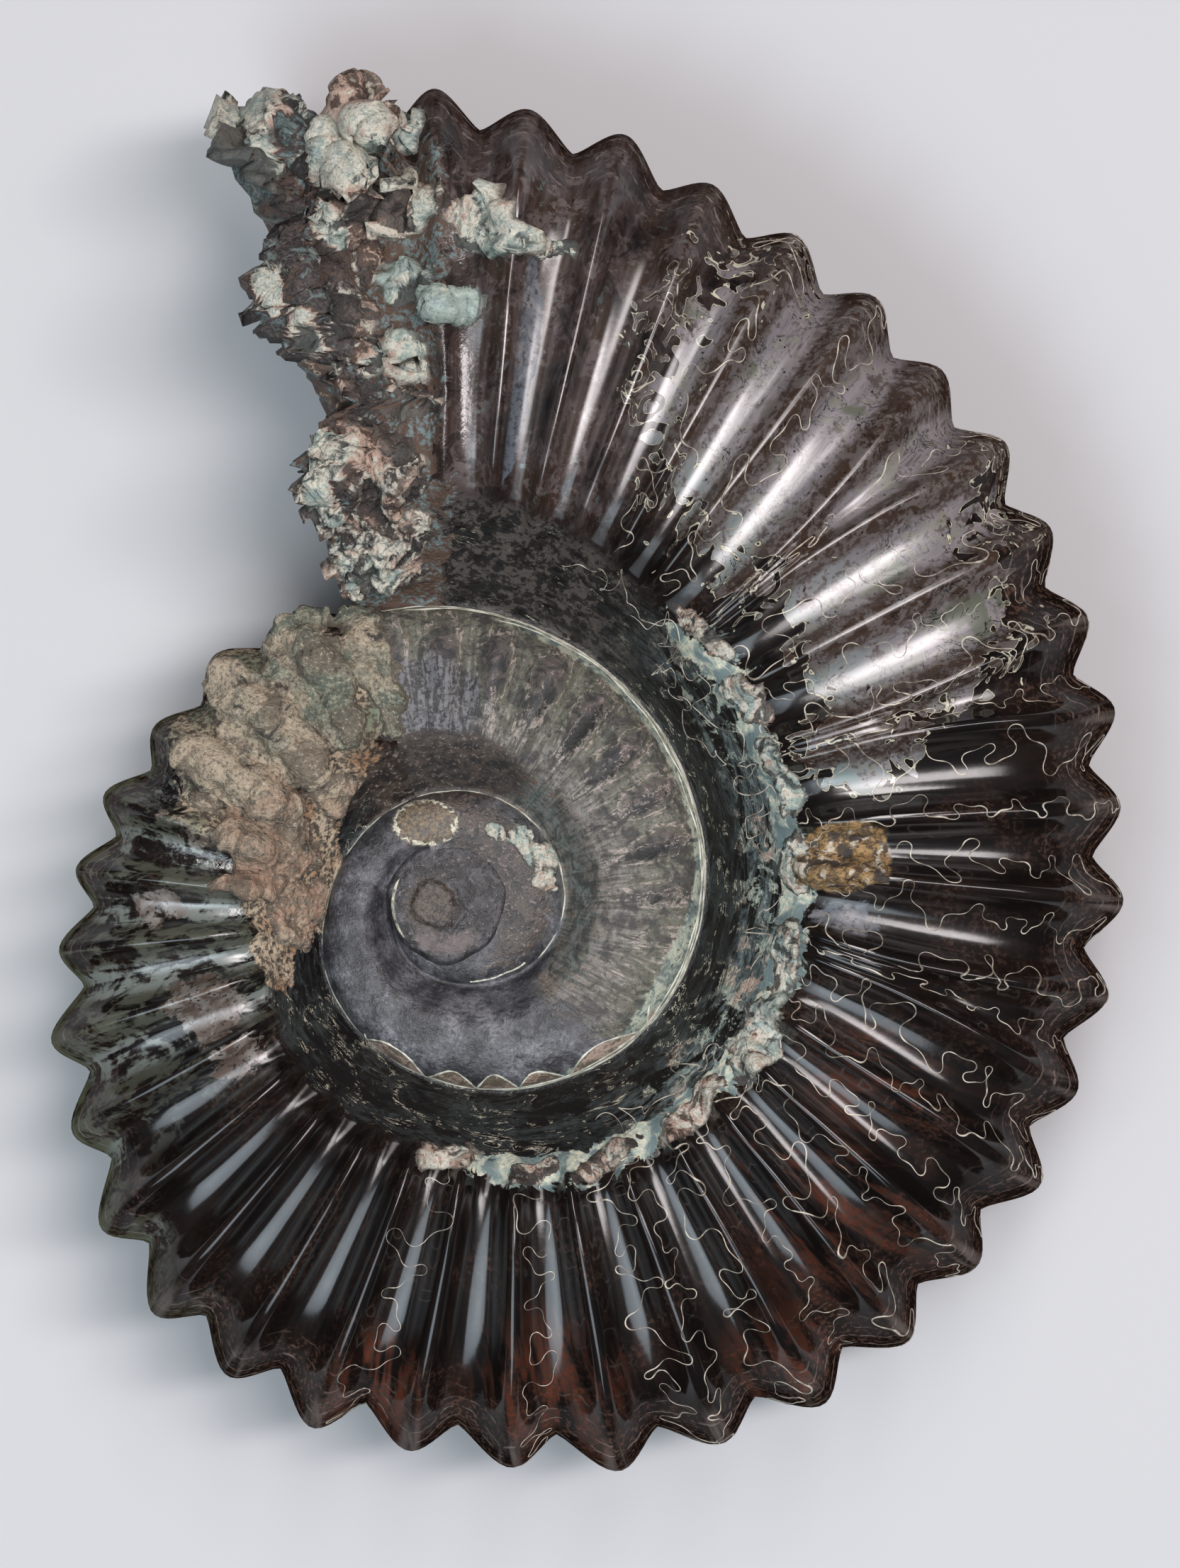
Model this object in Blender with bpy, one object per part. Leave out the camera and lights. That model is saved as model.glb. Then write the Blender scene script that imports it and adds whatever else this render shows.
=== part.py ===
"""Polished fossil ammonite, 133 mm long, lying on one flank with its broken mouth at +Y.

The shell is one closed solid. It is worked out as a ribbon that winds outward from the first chamber:
each turn rests on the one before it along a spiral seam, rises up a sloping umbilical wall to a
shoulder, and carries ribs across its flank and round its outer edge. The last turn ends in a ragged
break, closed by a hollowed rock face.

Angles are degrees round the coil's pole, counter-clockwise from +X, and go on growing turn after turn.
"""

import math

import bpy
import numpy as np
from mathutils import Matrix, Vector, noise

MM = 0.001

# Where the turns start and end, in degrees. The last turn runs from START to END.
TURN = 360.0
CORE = -614.0
START = 106.0
END = 466.0

# Half the thickness of the last turn at its mouth in millimetres, and how much a turn outgrows the last.
HALF_THICKNESS = 17.5
GROWTH_PER_TURN = 2.05

# Ribs. The first column of the last turn lies three quarters of a rib before rib 0.
FIRST_PHASE = -0.75
LAST_PHASE = 36.75
INNER_RIB_PITCH = 12.5
RIB_SHARPNESS = 1.35
FORK_RIBS = (20, 24, 27)
FORK_PINCH = 2.4

# (rib number, angle of its tip)
RIB_TIPS = (
    (-0.75, 106), (0, 117), (2, 148.5), (5, 186.5), (8, 223), (12, 266), (16, 307), (20, 343.5),
    (24, 376.2), (28, 407), (32, 436.8), (34, 450.8), (36, 462.6), (36.75, 468),
)
# (angle, how far a rib's inner end lies ahead of its tip, in degrees)
RIB_LEAN = (
    (106, 0), (170, 1), (205, 2.2), (225, 5.2), (245, 8), (300, 9.2), (340, 8.5), (370, 5.5), (400, 4.5),
    (415, 2.2), (430, 0.8), (445, -1), (468, -2),
)
# (angle, radius in millimetres) of the seam, of the umbilical shoulder and of the outer edge between ribs
SEAM = (
    (-614, 1.5), (-540, 2.1), (-450, 2.8), (-360, 3.5), (-270, 4.2), (-180, 4.9), (-150, 5.6), (-120, 6.6),
    (-90, 7.5), (-60, 8.8), (-30, 10.4), (0, 11.5), (30, 11.7), (60, 11.5), (90, 11.0), (120, 10.6),
    (150, 10.7), (180, 11.5), (210, 13.4), (240, 15.2), (270, 17.3), (300, 20.0), (330, 23.0), (360, 25.0),
    (390, 26.4), (420, 27.7), (450, 28.8), (466, 29.2),
)
SHOULDER = (
    (-614, 2.3), (-450, 4.0), (-270, 6.1), (-180, 7.1), (-90, 10.4), (-30, 13.5), (0, 14.8), (60, 15.5),
    (106, 16.2), (150, 17.8), (180, 17.8), (200, 18.4), (220, 20.2), (240, 21.6), (270, 23.9), (285, 26.3),
    (310, 29.3), (330, 31.5), (360, 33.6), (390, 34.2), (405, 34.6), (420, 36.0), (435, 38.3), (450, 39.7),
    (468, 40.4),
)
OUTER_EDGE = (
    (106, 29.88), (120, 30.3), (150, 31.1), (180, 34.2), (210, 39.2), (240, 46.4), (270, 50.4), (300, 56.2),
    (330, 59.8), (360, 62.5), (390, 66.1), (420, 69.9), (450, 75.5), (468, 77.3),
)
# (angle, height of the ribs in millimetres)
RIB_HEIGHT = (
    (-614, 0), (-254, 0.15), (-100, 0.2), (-30, 0.35), (20, 0.8), (96, 1.0), (106, 0), (112, 1.2),
    (120, 1.9), (150, 2.5), (180, 2.8), (210, 3.4), (240, 3.6), (300, 3.5), (330, 3.3), (360, 3.1),
    (420, 3.0), (450, 3.3), (468, 3.2),
)

# Half of a turn's section, from the shoulder (0) over the flank to the middle of the outer edge (1):
# how far out it is, as a share of the way from shoulder to edge, and how high, as a share of half thickness.
SECTION_OUT = (
    (0, 0), (0.15, 0.12), (0.35, 0.38), (0.55, 0.66), (0.75, 0.87), (0.88, 0.96), (1, 1), (1.12, 0.96),
)
SECTION_UP = (
    (0, 0.93), (0.15, 1.0), (0.35, 1.0), (0.55, 0.92), (0.75, 0.70), (0.88, 0.42), (1, 0), (1.12, -0.42),
)
# The same, for how much of its full height a rib has
SECTION_RIB = ((0, 0.25), (0.08, 0.62), (0.2, 0.84), (0.5, 0.9), (0.8, 1.0), (1, 1.0), (1.2, 1.0))
# How far across the turn below a seam lies, and how high the first turn's seam is, as a share of half
# thickness.
EDGE_SHARE = 0.875
CORE_FOOT = 0.8
# The first chamber's dome: the width and height of its inner ring as shares of the seam's, and how far ring
# and top rise, in millimetres.
DOME_RING = (0.55, 0.55, 0.6)
DOME_RING_RISE = 0.25
DOME_RISE = 0.35
# How steeply the umbilical wall starts from its seam, and how a rib's lean grows toward its inner end
WALL_CURVE = 0.85
LEAN_CURVE = 1.8
# On the wall the ribs rise between these shares of it, and reach this share of their height
RIBS_ON_WALL = (0.4, 1.2)
WALL_RIB_SHARE = 0.125
# The inner turns' ribs, as a share of the height above
INNER_RIB_SHARE = 0.8
# A fork's branches part between these shares of the flank, and the gap between them opens within the others.
# The gap is as wide as these distances, in ribs, from the middle between the two.
FORK_PARTS = (0.85, 0.25)
FORK_GAP = (0.5, 0.28)
FORK_GAP_WIDTH = (0.5, 0.25)

# The mouth's ragged rim: (radius in millimetres, angle at which the shell breaks off there)
RIM = (
    (29.2, 466.0), (33.5, 467.6), (37.0, 467.2), (41.5, 469.0), (45.2, 466.0), (48.4, 460.6), (52.0, 462.4),
    (55.6, 466.4), (61.0, 467.6), (64.8, 465.4), (67.6, 461.6), (71.5, 463.4), (76.5, 467.0), (80.5, 464.6),
)
RIM_RIBS = 3.2
UNDERSIDE_SETBACK = 1.6
UNDERSIDE_SETBACK_FROM = (30.0, 36.0)
# The rock face behind the rim: how deep it is hollowed, how soon it is deepest and how much shallower its
# foot is.
HOLLOW = 6.0
HOLLOW_SPEED = 1.6
HOLLOW_FOOT = 0.6
HOLLOW_ROUGHNESS = 0.5
# Toward the mouth the flank is worn down between two radii, its ribs fade and it grows lumps
WORN_FROM = 446.0
WORN_DOWN = 2.4
WORN_OUTSIDE = (38.0, 48.0)
WORN_INSIDE = (76.0, 68.0)
LUMPS_WITHIN = 8.0
RIBS_LEFT = 0.2
RIBS_FADE = (444.0, 455.0)
FADED_INSIDE = (71.0, 64.0)
LUMP_SIZE = 10.0
LUMP_HEIGHT = 0.8
# How far apart the noises of two seeds are taken
NOISE_STEP = (17.3, 5.1, 11.9)
# Lumps and pits there: (angle, radius, half width, half height, how much it stands out), all but angles in mm
MOUTH_FEATURES = (
    (444, 66.0, 6.5, 3.6, 1.7),
    (454, 62.0, 5.0, 4.4, -2.8),
    (449, 57.0, 5.0, 3.4, 1.6),
    (461, 72.0, 3.6, 5.0, -2.0),
    (464, 79.0, 3.6, 3.6, 1.4),
    (463, 59.0, 4.2, 4.2, 2.4),
    (458, 50.0, 4.4, 4.0, -1.6),
    (463, 42.5, 4.2, 4.2, 1.9),
    (460, 35.5, 4.4, 3.6, 1.2),
)

# A small share of the section, over which its slope is taken
NORMAL_STEP = 0.01

# Samples. Columns per rib, and rows from the seam up the wall, over the flank and round the outer edge.
COLUMNS_PER_RIB = 4
WALL_ROWS = (0.0, 0.5)
FLANK_ROWS = (0.0, 0.1, 0.22, 0.34, 0.46, 0.57, 0.67, 0.77, 0.875)
EDGE_ROWS = (0.94, 1.0)
INNER_ROWS = (0.0, 0.3, 0.62)
CORE_ROWS = (0.0, 0.45)
SKIP_INNER = 2
SKIP_CORE = 3
ROCK_FACE_LAYERS = (0.2, 0.42, 0.68)

# How the shell lies: turned about X, in degrees, until rib crests of its underside meet the floor on all
# sides of its weight, with its pole at POLE. The crests that would reach below the floor are ground flat.
LIE_ABOUT_X = 2.75
POLE = (-13.83, -12.12, 17.06)
FLOOR_SLAB = (0.2, 0.2, 0.02)

SHELL_COLOUR = (0.045, 0.036, 0.034)
SHELL_ROUGHNESS = 0.28
SHARP_EDGE = 50.0


def through(knots, at):
    """A smooth curve through (place, value) pairs."""
    x, y = np.array(knots, float).T
    slope = np.gradient(y, x)
    at = np.clip(at, x[0], x[-1])
    i = np.clip(np.searchsorted(x, at) - 1, 0, len(x) - 2)
    step = x[i + 1] - x[i]
    u = (at - x[i]) / step
    rise = u * u * (3 - 2 * u)
    bend = u * (1 - u) * step
    return y[i] + (y[i + 1] - y[i]) * rise + bend * ((1 - u) * slope[i] - u * slope[i + 1])


def ease(low, high, at):
    """0 below low, 1 above high and smooth between; low may be the larger one."""
    u = np.clip((at - low) / (high - low), 0, 1)
    return u * u * (3 - 2 * u)


def half_thickness(angle):
    return HALF_THICKNESS * GROWTH_PER_TURN ** ((angle - END) / TURN)


def outer_edge(angle):
    """Radius between ribs. An inner turn's is hidden, and reaches just past the seam of the turn on it."""
    shoulder = through(SHOULDER, angle)
    hidden = shoulder + (through(SEAM, angle + TURN) - shoulder) / through(SECTION_OUT, EDGE_SHARE)
    return np.where(angle < START, hidden, through(OUTER_EDGE, angle))


def section_point(angle, share):
    """(radius, height) on the smooth shell, share of the way from the shoulder to the outer edge."""
    shoulder = through(SHOULDER, angle)
    radius = shoulder + (outer_edge(angle) - shoulder) * through(SECTION_OUT, share)
    return radius, half_thickness(angle) * through(SECTION_UP, share)


def wall_point(angle, share):
    """(radius, height) on the umbilical wall, share of the way from the seam to the shoulder."""
    seam = through(SEAM, angle)
    foot = section_point(angle - TURN, EDGE_SHARE)[1]
    foot = np.where(angle - TURN < CORE, CORE_FOOT * half_thickness(angle), foot)
    top_radius, top = section_point(angle, 0.0)
    return seam + (top_radius - seam) * share, foot + (top - foot) * share ** WALL_CURVE


def rib_phase(tip_angle):
    """Rib number, with fractions, at an angle on the inner turns."""
    return FIRST_PHASE + (tip_angle - START) / INNER_RIB_PITCH


def rib_wave(phase):
    """1 on a rib's crest and 0 midway to the next."""
    return (0.5 + 0.5 * np.cos(2 * math.pi * phase)) ** RIB_SHARPNESS


def fork_shift(phase):
    """How far round, in degrees, the inner ends of a forked rib's two branches are pinched together."""
    shift = np.zeros_like(phase)
    for rib in FORK_RIBS:
        shift += np.interp(phase, (rib - 1, rib, rib + 1, rib + 2), (0, FORK_PINCH, -FORK_PINCH, 0))
    return shift


def fork_fill(phase, share):
    """1 between the joined branches of a forked rib, where there is no valley."""
    between = np.zeros_like(phase)
    for rib in FORK_RIBS:
        between += ease(*FORK_GAP_WIDTH, np.abs(phase - rib - 0.5))
    return between * ease(*FORK_GAP, share)


def rim_angle(radius, underside):
    """The angle at which the shell breaks off. Its underside breaks off a little sooner."""
    return through(RIM, radius) - UNDERSIDE_SETBACK * underside * ease(*UNDERSIDE_SETBACK_FROM, radius)


def noise_at(points, size, seed):
    """Smooth noise from -1 to 1 for each point."""
    offset = Vector(NOISE_STEP) * seed
    found = [noise.noise(Vector(p) / size + offset) for p in points.reshape(-1, 3)]
    return np.array(found).reshape(points.shape[:-1])


def mouth_relief(angle, radius, points):
    """How far the surface stands out near the mouth, in millimetres."""
    near = ease(WORN_FROM - LUMPS_WITHIN, WORN_FROM + LUMPS_WITHIN, angle)
    relief = near * LUMP_HEIGHT * noise_at(points, LUMP_SIZE, 1)
    worn = ease(WORN_FROM, END, angle) * ease(*WORN_OUTSIDE, radius) * ease(*WORN_INSIDE, radius)
    relief -= WORN_DOWN * worn
    for at_angle, at_radius, wide, high, out in MOUTH_FEATURES:
        across = np.radians(angle - at_angle) * at_radius / wide
        along = (radius - at_radius) / high
        relief += out * np.exp(-(across ** 2 + along ** 2))
    return relief


def polar(angle, radius, height):
    turn = np.radians(angle)
    return np.stack(np.broadcast_arrays(radius * np.cos(turn), radius * np.sin(turn), height), axis=-1)


def section_normal(angle, share):
    """(outward, upward) parts of the smooth shell's normal."""
    ahead = section_point(angle, share + NORMAL_STEP)
    behind = section_point(angle, share - NORMAL_STEP)
    out, up = behind[1] - ahead[1], ahead[0] - behind[0]
    length = np.hypot(out, up)
    return out / length, up / length


def last_turn(side):
    """Columns by rows of points over one side of the last turn, from the seam to the outer edge."""
    underside = float(side < 0)
    columns = round((LAST_PHASE - FIRST_PHASE) * COLUMNS_PER_RIB)
    phase = np.linspace(FIRST_PHASE, LAST_PHASE, columns + 1)[:, None]
    tip = through(RIB_TIPS, phase)
    reach = ease(LAST_PHASE - RIM_RIBS, LAST_PHASE, phase)
    rows = []
    for share in WALL_ROWS:
        angle = tip + through(RIB_LEAN, tip) + fork_shift(phase)
        radius, height = wall_point(angle, share)
        angle = angle + (rim_angle(radius, underside) - END) * reach
        ribs = WALL_RIB_SHARE * through(RIB_HEIGHT, tip) * rib_wave(phase) * ease(*RIBS_ON_WALL, share)
        rows.append(polar(angle, radius - ribs, height + ribs))
    for share in FLANK_ROWS + EDGE_ROWS:
        inward = (1 - share) ** LEAN_CURVE
        angle = tip + through(RIB_LEAN, tip) * inward + fork_shift(phase) * ease(*FORK_PARTS, share)
        radius, height = section_point(angle, share)
        end_here = through(RIB_TIPS, LAST_PHASE) + RIB_LEAN[-1][1] * inward
        angle = angle + (rim_angle(radius, underside) - end_here) * reach
        out, up = section_normal(angle, share)
        wave = rib_wave(phase) + (1 - rib_wave(phase)) * fork_fill(phase, share)
        rise = through(RIB_HEIGHT, tip) * through(SECTION_RIB, share) * wave
        rise = rise * (1 - (1 - RIBS_LEFT) * ease(*RIBS_FADE, angle) * ease(*FADED_INSIDE, radius))
        rise = rise + mouth_relief(angle, radius, polar(angle, radius, height * side))
        rows.append(polar(angle, radius + out * rise, height + up * rise))
    points = np.concatenate(rows, axis=1)
    points[..., 2] *= side
    return points


def inner_turn(angles, inner_rows, side):
    """Columns by rows of points over one side of an inner turn, short of the seam of the turn on it."""
    angle = angles[:, None]
    rows = [wall_point(angle, share) for share in WALL_ROWS]
    rows += [section_point(angle, share * EDGE_SHARE) for share in inner_rows]
    wave = rib_wave(rib_phase(angle)) * through(RIB_HEIGHT, angle)
    points = []
    for number, (radius, height) in enumerate(rows):
        on_flank = number >= len(WALL_ROWS)
        points.append(polar(angle, radius, height + INNER_RIB_SHARE * wave * on_flank))
    points = np.concatenate(points, axis=1)
    points[..., 2] *= side
    return points


class Surface:
    """Vertices and triangles. A grid or a line of vertices is an array of vertex numbers."""

    def __init__(self):
        self.points = []
        self.faces = []

    def add(self, points):
        first = len(self.points)
        flat = np.asarray(points, float).reshape(-1, 3)
        self.points.extend(flat)
        return np.arange(first, first + len(flat)).reshape(np.asarray(points).shape[:-1])

    def triangle(self, corners, side):
        if len(set(corners)) == 3:
            self.faces.append(tuple(corners) if side > 0 else tuple(corners)[::-1])

    def fill_grid(self, grid, side):
        """Two triangles for each cell. Columns run counter-clockwise and rows outward."""
        for i in range(grid.shape[0] - 1):
            for k in range(grid.shape[1] - 1):
                a, b, c, d = grid[i, k], grid[i, k + 1], grid[i + 1, k + 1], grid[i + 1, k]
                self.triangle((a, b, c), side)
                self.triangle((a, c, d), side)

    def zip_lines(self, left, right, side):
        """Triangles between two lines of different counts, taking the shorter diagonal each time."""
        i = j = 0
        while i < len(left) - 1 or j < len(right) - 1:
            on_left = math.inf
            on_right = math.inf
            if i < len(left) - 1:
                on_left = np.linalg.norm(self.points[left[i + 1]] - self.points[right[j]])
            if j < len(right) - 1:
                on_right = np.linalg.norm(self.points[right[j + 1]] - self.points[left[i]])
            if on_left <= on_right:
                self.triangle((left[i], right[j], left[i + 1]), side)
                i += 1
            else:
                self.triangle((left[i], right[j], right[j + 1]), side)
                j += 1


def wind_inward(surface, seam_row, seam_angles, last_column, skip, inner_rows, side):
    """One inner turn, under a turn's seam row. last_column is the turn's first column, up to its edge row.
    Returns this turn's own seam row, its angles, and its first column."""
    own = slice(0, len(seam_row) - 1, skip)
    angles = seam_angles[own] - TURN
    grid = surface.add(inner_turn(angles, inner_rows, side))
    surface.fill_grid(grid, side)
    reached = (len(angles) - 1) * skip
    surface.zip_lines(grid[:, -1], seam_row[: reached + 1], side)
    rest = np.concatenate([grid[-1], seam_row[reached:-1]])
    surface.zip_lines(rest[::-1], last_column[::-1], side)
    own_seam = np.append(grid[:, 0], last_column[0])
    own_angles = np.append(angles, seam_angles[-1] - TURN)
    first_column = np.append(grid[0], seam_row[0])
    return own_seam, own_angles, first_column


def close_core(surface, seam_row, first_column, side):
    """The first chamber: a low dome inside the innermost seam."""
    loop = np.concatenate([seam_row, first_column[-2:0:-1]])
    corners = np.array([surface.points[v] for v in loop])
    centre = np.array([0.0, 0.0, corners[:, 2].mean()])
    ring = surface.add(centre + (corners - centre) * DOME_RING + (0, 0, DOME_RING_RISE * side))
    top = surface.add(centre + (0, 0, DOME_RISE * side))
    for i in range(len(loop)):
        j = (i + 1) % len(loop)
        surface.triangle((ring[i], loop[i], loop[j]), side)
        surface.triangle((ring[i], loop[j], ring[j]), side)
        surface.triangle((int(top), ring[i], ring[j]), side)


def spread(line, at):
    """Points at shares from 0 to 1 along a line of points."""
    places = np.linspace(0, 1, len(line))
    return np.stack([np.interp(at, places, line[:, n]) for n in range(3)], axis=1)


def close_mouth(surface, rim, foot):
    """The broken rock face, in layers from the rim to the edge of the turn below, which share their ends."""
    previous = rim
    rim_points = np.array([surface.points[v] for v in rim])
    foot_points = np.array([surface.points[v] for v in foot])
    back = np.array([math.sin(math.radians(END)), -math.cos(math.radians(END)), 0.0])
    for share in ROCK_FACE_LAYERS:
        count = round(len(rim) + (len(foot) - len(rim)) * share)
        at = np.linspace(0, 1, count)[1:-1]
        outer = spread(rim_points, at)
        layer = outer + (spread(foot_points, at) - outer) * share
        deepest = HOLLOW * math.sin(math.pi / 2 * min(share * HOLLOW_SPEED, 1)) * (1 - HOLLOW_FOOT * share)
        depth = deepest * np.sqrt(np.sin(math.pi * at))
        depth = depth * (1 + HOLLOW_ROUGHNESS * noise_at(layer, LUMP_SIZE, 2))
        layer = layer + back * depth[:, None]
        line = np.concatenate([rim[:1], surface.add(layer), rim[-1:]])
        surface.zip_lines(previous, line, -1)
        previous = line
    surface.zip_lines(previous, foot, -1)


def build_shell():
    surface = Surface()
    edge = len(WALL_ROWS) + len(FLANK_ROWS) - 1
    top_points = last_turn(1)
    low_points = last_turn(-1)[:, -2::-1]
    grid = surface.add(np.concatenate([top_points, low_points], axis=1))
    # The seam meets the first column's edge row where the mouth ends, on both sides: one vertex each.
    grid[-1, 0] = grid[0, edge]
    grid[-1, -1] = grid[0, -1 - edge]
    surface.fill_grid(grid, 1)
    close_mouth(surface, grid[-1], grid[0, edge : grid.shape[1] - edge])
    columns = np.linspace(FIRST_PHASE, LAST_PHASE, grid.shape[0])
    tips = through(RIB_TIPS, columns)
    angles = tips + through(RIB_LEAN, tips) + fork_shift(columns)
    upper = (1, grid[:, 0], grid[0, : edge + 1])
    under = (-1, grid[:, -1], grid[0, ::-1][: edge + 1])
    for side, seam, column in (upper, under):
        row, row_angles, first = wind_inward(surface, seam, angles, column, SKIP_INNER, INNER_ROWS, side)
        row, row_angles, first = wind_inward(surface, row, row_angles, first, SKIP_CORE, CORE_ROWS, side)
        close_core(surface, row, first, side)
    return surface


def shell_material():
    material = bpy.data.materials.new("polished_shell")
    material.use_nodes = True
    shader = material.node_tree.nodes["Principled BSDF"]
    shader.inputs["Base Color"].default_value = (*SHELL_COLOUR, 1)
    shader.inputs["Roughness"].default_value = SHELL_ROUGHNESS
    shader.inputs["Metallic"].default_value = 0.0
    return material


def grind_flat(shell):
    """Takes off what reaches below the floor, at z = 0."""
    bpy.ops.mesh.primitive_cube_add(size=1, location=(0, 0, -FLOOR_SLAB[2] / 2))
    slab = bpy.context.object
    slab.name = "floor_slab"
    slab.scale = FLOOR_SLAB
    slab.hide_render = True
    slab.display_type = "WIRE"
    cut = shell.modifiers.new("ground_flat", "BOOLEAN")
    cut.operation = "DIFFERENCE"
    cut.solver = "EXACT"
    cut.object = slab


def main():
    for obj in list(bpy.data.objects):
        bpy.data.objects.remove(obj)
    surface = build_shell()
    used = sorted({v for face in surface.faces for v in face})
    renumber = {v: n for n, v in enumerate(used)}
    mesh = bpy.data.meshes.new("ammonite")
    lie = Matrix.Rotation(math.radians(LIE_ABOUT_X), 4, "X")
    mesh.from_pydata(
        [((lie @ Vector(surface.points[v])) + Vector(POLE)) * MM for v in used],
        [],
        [[renumber[v] for v in face] for face in surface.faces],
    )
    mesh.shade_smooth()
    mesh.set_sharp_from_angle(angle=math.radians(SHARP_EDGE))
    mesh.materials.append(shell_material())
    shell = bpy.data.objects.new("ammonite", mesh)
    bpy.context.scene.collection.objects.link(shell)
    grind_flat(shell)


main()
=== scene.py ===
"""Looks of a polished fossil ammonite: the fine surface of its shell, its suture lines, its mineral crusts
and the finish of each, with a floor, lights and a camera that looks down on it.

The shell's surface is worked out from the same named sizes as the solid that it replaces. Angles are degrees
round the coil's pole, counter-clockwise from +X, and go on growing turn after turn. Lengths are millimetres
until the meshes are made. A "share" runs across a turn: -1 at its seam, 0 at its shoulder, 1 at its outer
edge.
"""

import math

import bpy
import numpy as np
from mathutils import Matrix, Vector, noise
from mathutils.kdtree import KDTree


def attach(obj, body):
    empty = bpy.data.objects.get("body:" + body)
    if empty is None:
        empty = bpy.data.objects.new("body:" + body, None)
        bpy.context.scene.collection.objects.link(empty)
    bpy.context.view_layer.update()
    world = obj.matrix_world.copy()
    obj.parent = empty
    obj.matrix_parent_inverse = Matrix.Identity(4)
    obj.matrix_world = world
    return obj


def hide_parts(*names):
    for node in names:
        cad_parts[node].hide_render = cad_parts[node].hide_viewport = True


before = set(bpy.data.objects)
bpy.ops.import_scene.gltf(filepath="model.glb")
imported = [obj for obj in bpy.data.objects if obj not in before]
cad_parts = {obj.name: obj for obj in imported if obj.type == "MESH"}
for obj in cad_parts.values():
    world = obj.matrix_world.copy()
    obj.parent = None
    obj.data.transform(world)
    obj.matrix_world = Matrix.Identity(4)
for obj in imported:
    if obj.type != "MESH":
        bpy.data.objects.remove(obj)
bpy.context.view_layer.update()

MM = 0.001

# The solid's own sizes, in the same words as there
TURN = 360.0
CORE = -614.0
START = 106.0
END = 466.0
HALF_THICKNESS = 17.5
GROWTH_PER_TURN = 2.05
FIRST_PHASE = -0.75
LAST_PHASE = 36.75
RIB_PITCH = 8.5
INNER_RIB_PITCH = 12.5
FORK_RIBS = (20, 24, 27)
FORK_PINCH = 2.4
RIB_TIPS = (
    (-0.75, 106), (0, 117), (2, 148.5), (5, 186.5), (8, 223), (12, 266), (16, 307), (20, 343.5),
    (24, 376.2), (28, 407), (32, 436.8), (34, 450.8), (36, 462.6), (36.75, 468),
)
RIB_LEAN = (
    (106, 0), (170, 1), (205, 2.2), (225, 5.2), (245, 8), (300, 9.2), (340, 8.5), (370, 5.5), (400, 4.5),
    (415, 2.2), (430, 0.8), (445, -1), (468, -2),
)
SEAM = (
    (-614, 1.5), (-540, 2.1), (-450, 2.8), (-360, 3.5), (-270, 4.2), (-180, 4.9), (-150, 5.6), (-120, 6.6),
    (-90, 7.5), (-60, 8.8), (-30, 10.4), (0, 11.5), (30, 11.7), (60, 11.5), (90, 11.0), (120, 10.6),
    (150, 10.7), (180, 11.5), (210, 13.4), (240, 15.2), (270, 17.3), (300, 20.0), (330, 23.0), (360, 25.0),
    (390, 26.4), (420, 27.7), (450, 28.8), (466, 29.2),
)
SHOULDER = (
    (-614, 2.3), (-450, 4.0), (-270, 6.1), (-180, 7.1), (-90, 10.4), (-30, 13.5), (0, 14.8), (60, 15.5),
    (106, 16.2), (150, 17.8), (180, 17.8), (200, 18.4), (220, 20.2), (240, 21.6), (270, 23.9), (285, 26.3),
    (310, 29.3), (330, 31.5), (360, 33.6), (390, 34.2), (405, 34.6), (420, 36.0), (435, 38.3), (450, 39.7),
    (468, 40.4),
)
OUTER_EDGE = (
    (106, 29.88), (120, 30.3), (150, 31.1), (180, 34.2), (210, 39.2), (240, 46.4), (270, 50.4), (300, 56.2),
    (330, 59.8), (360, 62.5), (390, 66.1), (420, 69.9), (450, 75.5), (468, 77.3),
)
RIB_HEIGHT = (
    (-614, 0), (-254, 0.15), (-100, 0.2), (-30, 0.35), (20, 0.8), (96, 1.0), (106, 0), (112, 1.2),
    (120, 1.9), (150, 2.5), (180, 2.8), (210, 3.4), (240, 3.6), (300, 3.5), (330, 3.3), (360, 3.1),
    (420, 3.0), (450, 3.3), (468, 3.2),
)
SECTION_OUT = (
    (0, 0), (0.15, 0.12), (0.35, 0.38), (0.55, 0.66), (0.75, 0.87), (0.88, 0.96), (1, 1), (1.12, 0.96)
)
SECTION_UP = (
    (0, 0.93), (0.15, 1.0), (0.35, 1.0), (0.55, 0.92), (0.75, 0.7), (0.88, 0.42), (1, 0), (1.12, -0.42)
)
SECTION_RIB = ((0, 0.25), (0.08, 0.62), (0.2, 0.84), (0.5, 0.9), (0.8, 1.0), (1, 1.0), (1.2, 1.0))
EDGE_SHARE = 0.875
RIM = (
    (29.2, 466.0), (33.5, 467.6), (37.0, 467.2), (41.5, 469.0), (45.2, 466.0), (48.4, 460.6), (52.0, 462.4),
    (55.6, 466.4), (61.0, 467.6), (64.8, 465.4), (67.6, 461.6), (71.5, 463.4), (76.5, 467.0), (80.5, 464.6),
)
CORE_FOOT = 0.8
WALL_CURVE = 0.85
LEAN_CURVE = 1.8
FORK_PARTS = (0.85, 0.25)
FORK_GAP = (0.5, 0.28)
FORK_GAP_WIDTH = (0.5, 0.25)
RIM_RIBS = 3.2
UNDERSIDE_SETBACK = 1.6
UNDERSIDE_SETBACK_FROM = (30.0, 36.0)
HOLLOW = 6.0
HOLLOW_SPEED = 1.6
HOLLOW_FOOT = 0.6
HOLLOW_ROUGHNESS = 0.5
WORN_FROM = 446.0
WORN_DOWN = 2.4
WORN_OUTSIDE = (38.0, 48.0)
WORN_INSIDE = (76.0, 68.0)
RIBS_FADE = (444.0, 455.0)
RIBS_LEFT = 0.2
FADED_INSIDE = (71.0, 64.0)
LUMP_SIZE = 10.0
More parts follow.
